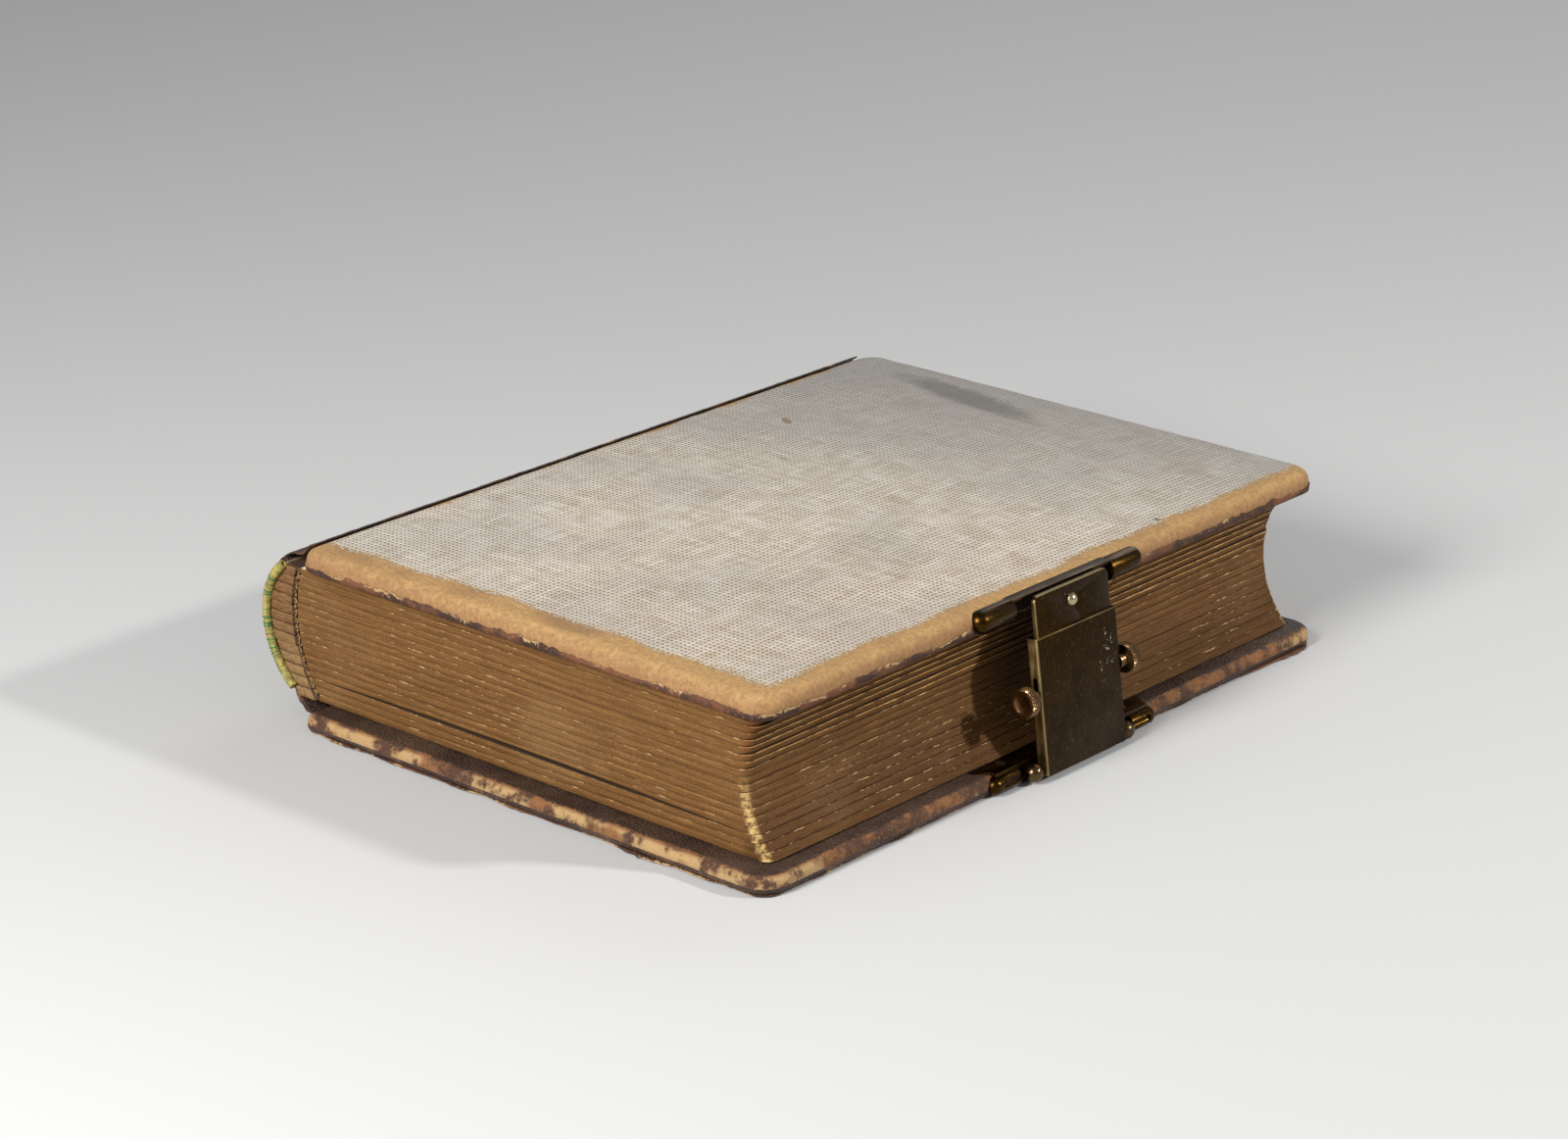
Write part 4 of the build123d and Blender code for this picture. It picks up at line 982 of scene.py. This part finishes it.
def stitch_tree():
    """Geometry nodes that wind thread closely round a band."""
    inputs = {"Geometry": GEOMETRY, "Spacing": 0.0005, "Band radius": 0.0008, "Thread radius": 0.00026, "Seed": 3,
              "First": MATERIAL, "Second": MATERIAL}
    tree, given, out = new_group("Wound thread", inputs, ["Geometry"], "GeometryNodeTree")
    spread = tree.node("GeometryNodeCurveToPoints", {"Curve": given["Geometry"], "Length": given["Spacing"]},
                       mode="LENGTH")
    ring = tree.node("GeometryNodeCurvePrimitiveCircle", {"Resolution": 14, "Radius": given["Band radius"]})
    section = tree.node("GeometryNodeCurvePrimitiveCircle", {"Resolution": 6, "Radius": given["Thread radius"]})
    loop = tree.node("GeometryNodeCurveToMesh", {"Curve": ring, "Profile Curve": section})
    lean = tree.node("FunctionNodeRandomValue", {0: (-0.12, -0.12, 0), 1: (0.12, 0.12, 3.0), "Seed": given["Seed"]},
                     data_type="FLOAT_VECTOR")
    turned = tree.node("FunctionNodeRotateRotation", {"Rotation": spread.node.outputs["Rotation"], "Rotate By": lean},
                       rotation_space="LOCAL")
    size = tree.node("FunctionNodeRandomValue", {2: 0.92, 3: 1.08, "Seed": given["Seed"]}, 1, data_type="FLOAT")
    placed = tree.node("GeometryNodeInstanceOnPoints",
                       {"Points": spread, "Instance": loop, "Rotation": turned, "Scale": size})
    number = tree.node("GeometryNodeInputIndex")
    patch = tree.node("ShaderNodeTexNoise", {"W": tree.times(number, 0.11), "Scale": 1.0}, noise_dimensions="1D")
    middle = tree.calc("ABSOLUTE", tree.minus(number, 27.0))
    greener = tree.times_plus(middle, -0.011, patch)
    chosen = tree.node("FunctionNodeCompare", {0: greener, 1: 0.40}, data_type="FLOAT", operation="GREATER_THAN")
    kept = tree.node("GeometryNodeStoreNamedAttribute", {"Geometry": placed, "Name": "second", "Value": chosen},
                     data_type="BOOLEAN", domain="INSTANCE")
    real = tree.node("GeometryNodeRealizeInstances", {"Geometry": kept})
    first = tree.node("GeometryNodeSetMaterial", {"Geometry": real, "Material": given["First"]})
    flag = tree.node("GeometryNodeInputNamedAttribute", {"Name": "second"}, data_type="BOOLEAN")
    second = tree.node("GeometryNodeSetMaterial", {"Geometry": first, "Selection": flag, "Material": given["Second"]})
    tree.link(tree.node("GeometryNodeSetShadeSmooth", {"Geometry": second}), out["Geometry"])
    return tree.tree


def crumb_tree():
    """Geometry nodes that scatter small crumbs along a line."""
    inputs = {"Geometry": GEOMETRY, "Spacing": 0.0002, "Size": 0.0002, "Spread": 0.0004, "Seed": 5,
              "Material": MATERIAL}
    tree, given, out = new_group("Scattered crumbs", inputs, ["Geometry"], "GeometryNodeTree")
    spread = tree.node("GeometryNodeCurveToPoints", {"Curve": given["Geometry"], "Length": given["Spacing"]},
                       mode="LENGTH")
    ranges = (((-1, -0.2, -1), (1, 0.2, 1)), ((0, 0, 0), (6, 6, 6)), ((0.3, 0.3, 0.25), (1.6, 1.0, 1.1)))
    way, turn, size = [tree.node("FunctionNodeRandomValue", {0: low, 1: high, "Seed": given["Seed"]},
                                 data_type="FLOAT_VECTOR") for low, high in ranges]
    away = tree.node("ShaderNodeVectorMath", {0: way, "Scale": given["Spread"]}, operation="SCALE")
    moved = tree.node("GeometryNodeSetPosition", {"Geometry": spread, "Offset": away})
    grain = tree.node("GeometryNodeMeshIcoSphere", {"Radius": given["Size"], "Subdivisions": 1})
    placed = tree.node("GeometryNodeInstanceOnPoints",
                       {"Points": moved, "Instance": grain, "Rotation": turn, "Scale": size})
    real = tree.node("GeometryNodeRealizeInstances", {"Geometry": placed})
    tree.link(tree.node("GeometryNodeSetMaterial", {"Geometry": real, "Material": given["Material"]}),
              out["Geometry"])
    return tree.tree


def grow(name, route, tree, values):
    """Run geometry nodes on a line of points in millimetres and keep the result as plain mesh."""
    curve = bpy.data.curves.new(name + "_line", "CURVE")
    curve.dimensions = "3D"
    spline = curve.splines.new("POLY")
    spline.points.add(len(route) - 1)
    for point, (x, y, z) in zip(spline.points, route):
        point.co = (x * MM, y * MM, z * MM, 1)
    line = add_object(name + "_line", curve)
    modifier = line.modifiers.new(tree.name, "NODES")
    modifier.node_group = tree
    for item in tree.interface.items_tree:
        if item.in_out == "INPUT" and item.name in values:
            modifier[item.identifier] = values[item.name]
    mesh = bpy.data.meshes.new_from_object(line.evaluated_get(bpy.context.evaluated_depsgraph_get()))
    bpy.data.objects.remove(line)
    return add_object(name, mesh)


class ALBUM_OT_spine(bpy.types.Operator):
    """Make the stubs, endbands and spine leather"""

    bl_idname = "album.spine"
    bl_label = "Spine"

    def execute(self, context):
        scene = context.scene
        bands = scene.album_bands
        stubs = self.stubs()
        pieces = [stubs]
        tree = stitch_tree()
        yellow = thread_material("Yellow silk", tuple(bands.yellow))
        green = thread_material("Green silk", tuple(bands.green))
        for node in ("tail_endband", "head_endband"):
            low, high = node_box(node)
            route = []
            for k in range(BAND_STEPS + 1):
                x, z = spine_point(BAND_DEPTH[node], -0.945 + 1.89 * k / BAND_STEPS)
                route.append((x, (low.y + high.y) / 2, z))
            values = {"Spacing": 0.00052, "Band radius": 0.00062, "Thread radius": bands.thread_radius, "Seed": 3,
                      "First": yellow, "Second": green}
            silk = grow(node + "_silk", route, tree, values)
            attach(silk, "leaf_block")
            dress(node, yellow)
            pieces.append(silk)
        crumb = paper_material("Crumbs", (0.40, 0.25, 0.085), (0.12, 0.06, 0.028), 0.8)
        scatter = crumb_tree()
        low, high = node_box("leaves")
        for end, y in (("tail", low.y - 0.05), ("head", high.y + 0.05)):
            levels = [4.6 + 0.4 * k for k in range(CRUMB_STEPS)]
            route = [(seam(level) - 0.15, y, level) for level in levels]
            values = {"Spacing": 0.00017, "Size": 0.00017, "Spread": 0.00038, "Seed": 5, "Material": crumb}
            crumbs = grow(end + "_crumbs", route, scatter, values)
            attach(crumbs, "leaf_block")
            pieces.append(crumbs)
        skin = leather_material(scene.album_leather, "Spine leather", 0.9)
        dress("spine_leather", skin)
        dress("spine_lining", paper_material("Lining", (0.25, 0.17, 0.10), (0.12, 0.08, 0.05)))
        pieces += [self.front_joint(skin), self.back_joint(skin)]
        return made(self, *pieces)

    def stubs(self):
        """The stubs as a stack of uneven slabs between the spine and the leaves."""
        low, high = node_box("leaves")
        points, edge, faces = [], [], []
        for k in range(STUB_COUNT):
            foot = low.z + (high.z - low.z) * k / STUB_COUNT + 0.03
            top = low.z + (high.z - low.z) * (k + 1) / STUB_COUNT - 0.03
            push = 0.30 * ripple(k, 1, 2, 0.9, 5)
            for y, sign in ((low.y - 0.40 + push, -1), (high.y + 0.40 - push, 1)):
                start = len(points)
                steps = 12
                for level, lip in ((foot, 1), (foot + 0.12, 0), ((foot + top) / 2, 0), (top - 0.12, 0), (top, 1)):
                    turn = (level - SPINE_BULGE[1]) / (SPINE_TOP[1] - SPINE_BULGE[1])
                    if turn < 0:
                        turn = (level - SPINE_BULGE[1]) / (SPINE_BULGE[1] - SPINE_FOOT[1])
                    left = spine_point(STUB_DEPTH, max(-0.995, min(0.995, turn)))[0] + 0.1
                    right = seam(level) - 0.55 + 0.30 * ripple(k, level, 0, 0.8, 3)
                    for step in range(steps + 1):
                        x = left + (right - left) * step / steps
                        bulge = 0.12 * ripple(x, k, level, 1.2, 9)
                        depth = y + sign * (bulge - 0.14 * lip)
                        points.append((x, depth, level))
                        edge.append(1.0 if step == steps else 0.72 if lip else 0.0)
                faces += grid_faces(5, steps + 1, start, UPRIGHT if sign < 0 else FLIPPED)
        piece = thicken(finish_mesh("stub_ends", points, faces, [stub_material()], {"edge": edge}), 0.9, -1.0)
        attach(piece, "leaf_block")
        # Painted shade: the CAD stubs behind the stub ends are near-black, so the hollow between the stub ends reads
        # as shade
        dress("leaf_stubs", paper_material("Dark stubs", (0.07, 0.04, 0.022), (0.03, 0.018, 0.012)))
        return piece

    def joint_sheet(self, name, route, tail, head, material):
        """Leather that bends over one fold: route holds X and Z, tail and head its ends in Y at each point."""
        fine = []
        for index in range(len(route) - 1):
            for step in range(3):
                share = step / 3
                fine.append([route[index][k] * (1 - share) + route[index + 1][k] * share for k in range(2)])
        fine.append(list(route[-1]))
        smooth = [fine[0]] + [[(fine[k - 1][a] + 2 * fine[k][a] + fine[k + 1][a]) / 4 for a in range(2)]
                              for k in range(1, len(fine) - 1)] + [fine[-1]]
        points = []
        for index, (x, z) in enumerate(smooth):
            share = index / (len(smooth) - 1)
            for k in range(SHEET_COLUMNS + 1):
                first = tail[0] + (tail[1] - tail[0]) * share + 0.5 * ripple(x, z, 1, 1.2, 4)
                last = head[0] + (head[1] - head[0]) * share + 0.5 * ripple(x, z, 5, 1.2, 6)
                y = first + (last - first) * k / SHEET_COLUMNS
                reach = 0.10 * ripple(x, y, z, 6.0, 8)
                ragged = 0.6 * ripple(0, y, 2, 2.5, 3) if index == len(smooth) - 1 else 0.0
                points.append((x + reach * 0.6 + ragged, y, z + reach * 0.4 if z > 1 else z))
        faces = grid_faces(len(smooth), SHEET_COLUMNS + 1)
        piece = thicken(finish_mesh(name, points, faces, [material]), 0.3, -1.0)
        work = bmesh.new()
        apply_modifiers(piece)
        work.from_mesh(piece.data)
        bmesh.ops.recalc_face_normals(work, faces=work.faces)
        work.to_mesh(piece.data)
        work.free()
        return piece

    def front_joint(self, material):
        """Leather over the front joint and onto the front cover's spine edge."""
        route = [spine_point(-0.08, turn) for turn in (0.55, 0.7, 0.85, 0.97)]
        route += [(-63.1, 30.25), (-61.9, 30.62), (-60.6, 30.66), (-59.75, 30.85), (-59.30, 31.4), (-58.95, 32.0),
                  (-58.45, 32.5), (-57.9, 32.85)]
        piece = self.joint_sheet("front_joint_leather", route, (-72.2, -71.6), (76.2, 76.4), material)
        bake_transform(piece)
        return piece

    def back_joint(self, material):
        """Leather over the back joint and onto the back cover's underside."""
        route = [spine_point(-0.08, turn) for turn in (-0.55, -0.7, -0.85, -0.97)]
        route += [(-62.2, 3.9), (-61.0, 2.7), (-59.3, 1.55), (-57.2, 0.75), (-54.8, 0.32), (-52.5, 0.12),
                  (-50.0, 0.05)]
        piece = self.joint_sheet("back_joint_leather", route, (-72.2, -73.4), (76.2, 76.8), material)
        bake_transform(piece)
        return piece


class ALBUM_OT_clasp(bpy.types.Operator):
    """Finish the brass clasp"""

    bl_idname = "album.clasp"
    bl_label = "Clasp"

    def execute(self, context):
        brass = context.scene.album_brass
        dark = tuple(brass.brass)
        rubbed = tuple(brass.rubbed)
        plates = [brass_material("Aged brass " + node, dark, rubbed, 0.34, 1.0, plate=node)
                  for node in ("sleeve", "tongue")]
        bars = brass_material("Aged brass bars", scaled(dark, 1.6), rubbed, 0.26, 0.8)
        balls = brass_material("Bronze balls", (0.14, 0.090, 0.044), rubbed, 0.22, 0.6)
        studs = brass_material("Bright stud", (0.60, 0.50, 0.30), (0.8, 0.7, 0.5), 0.22, 0.6)
        copper = brass_material("Turned knobs", tuple(brass.copper), (0.45, 0.28, 0.14), 0.28, 0.8)
        pieces = []
        fittings = (
            ("sleeve", "hasp_sleeve", plates[0]),
            ("tongue", "hasp_tongue", plates[1]),
            ("catch", "front_cover", bars),
            ("hinge_plate", "back_cover", bars),
            ("tail_knob", "hasp_tongue", copper),
            ("head_knob", "hasp_tongue", copper),
        )
        for node, body, material in fittings:
            edge = brass.edge if "knob" not in node else brass.edge * 0.4
            piece = bevelled_copy(node + "_eased", node, edge, material)
            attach(piece, body)
            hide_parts(node)
            pieces.append(piece)
        for node in ("hinge_pin", "pin_finial", "cross_pin"):
            dress(node, balls)
        for node in ("tongue_stud", "catch_rivets", "hinge_plate_rivets"):
            dress(node, studs)
        return made(self, *pieces)


class ALBUM_OT_stage(bpy.types.Operator):
    """Set the floor, lamps and camera"""

    bl_idname = "album.stage"
    bl_label = "Stage"

    def execute(self, context):
        scene = context.scene
        stage = scene.album_stage
        scene.view_settings.view_transform = "Standard"
        surface = Shading("Floor", 0.9, specular=0.1)
        surface.shader["Base Color"].default_value = stage.floor
        corners = [(x * FLOOR_HALF, y * FLOOR_HALF, -0.02) for x, y in ((-1, -1), (1, -1), (1, 1), (-1, 1))]
        floor = finish_mesh("floor", corners, [[0, 1, 2, 3]], [surface.material], smooth=False)
        turn, lift = stage.azimuth, stage.elevation
        back = Vector((sin(turn) * cos(lift), -cos(turn) * cos(lift), sin(lift)))
        right = Vector((cos(turn), sin(turn), 0))
        up = back.cross(right)
        roll = radians(-0.141)
        right, up = right * cos(roll) + up * sin(roll), up * cos(roll) - right * sin(roll)
        camera = add_object("camera", bpy.data.cameras.new("camera"))
        camera.data.lens = stage.lens
        camera.data.sensor_width = 36
        camera.data.clip_start = 0.02
        place = Vector((0, 0, 0.0186)) + back * stage.distance + right * -0.00735 + up * 0.00385
        camera.matrix_world = Matrix.Translation(place) @ Matrix((right, up, back)).transposed().to_4x4()
        scene.camera = camera
        for name, position, size, power in LAMPS:
            light = bpy.data.lights.new(name, "AREA")
            light.shape = "DISK"
            light.size = size
            light.energy = power
            lamp = add_object(name, light)
            lamp.location = position
            lamp.rotation_euler = (Vector((0, 0, 0.015)) - Vector(position)).to_track_quat("-Z", "Y").to_euler()
        world = bpy.data.worlds.new("studio")
        world.use_nodes = True
        tree = Nodes(world.node_tree)
        sky = world.node_tree.nodes["Background"]
        seen = tree.node("ShaderNodeLightPath", None, "Is Camera Ray")
        tree.link(tree.times_plus(seen, 0.62, 0.30), sky.inputs["Strength"])
        sky.inputs["Color"].default_value = (0.95, 0.96, 1.0, 1)
        scene.world = world
        return made(self, floor)


class ALBUM_PT_panel(bpy.types.Panel):
    """Album pieces"""

    bl_label = "Photo Album"
    bl_idname = "ALBUM_PT_panel"
    bl_space_type = "VIEW_3D"
    bl_region_type = "UI"
    bl_category = "Album"

    def draw(self, context):
        layout = self.layout
        for name in ("cloth", "leather", "leaves", "bands", "brass", "stage"):
            settings = getattr(context.scene, "album_" + name)
            box = layout.box()
            for key in settings.__annotations__:
                box.prop(settings, key)
        for operator in OPERATORS:
            layout.operator(operator.bl_idname)


SETTINGS = {"cloth": ClothSettings, "leather": LeatherSettings, "leaves": LeafSettings, "bands": BandSettings,
            "brass": BrassSettings, "stage": StageSettings}
OPERATORS = (ALBUM_OT_front_cover, ALBUM_OT_back_cover, ALBUM_OT_leaves, ALBUM_OT_spine, ALBUM_OT_clasp,
             ALBUM_OT_stage)
CLASSES = tuple(SETTINGS.values()) + OPERATORS + (ALBUM_PT_panel,)


def register():
    """Register the classes and attach the settings to the scene."""
    for item in CLASSES:
        bpy.utils.register_class(item)
    for name, settings in SETTINGS.items():
        setattr(bpy.types.Scene, "album_" + name, PointerProperty(type=settings))


def unregister():
    """Undo register."""
    for name in SETTINGS:
        delattr(bpy.types.Scene, "album_" + name)
    for item in reversed(CLASSES):
        bpy.utils.unregister_class(item)


def main():
    """Build the dressed album and write its size."""
    register()
    bpy.ops.album.front_cover()
    bpy.ops.album.back_cover()
    bpy.ops.album.leaves()
    bpy.ops.album.spine()
    bpy.ops.album.clasp()
    bpy.ops.album.stage()


if __name__ == "__main__":
    main()
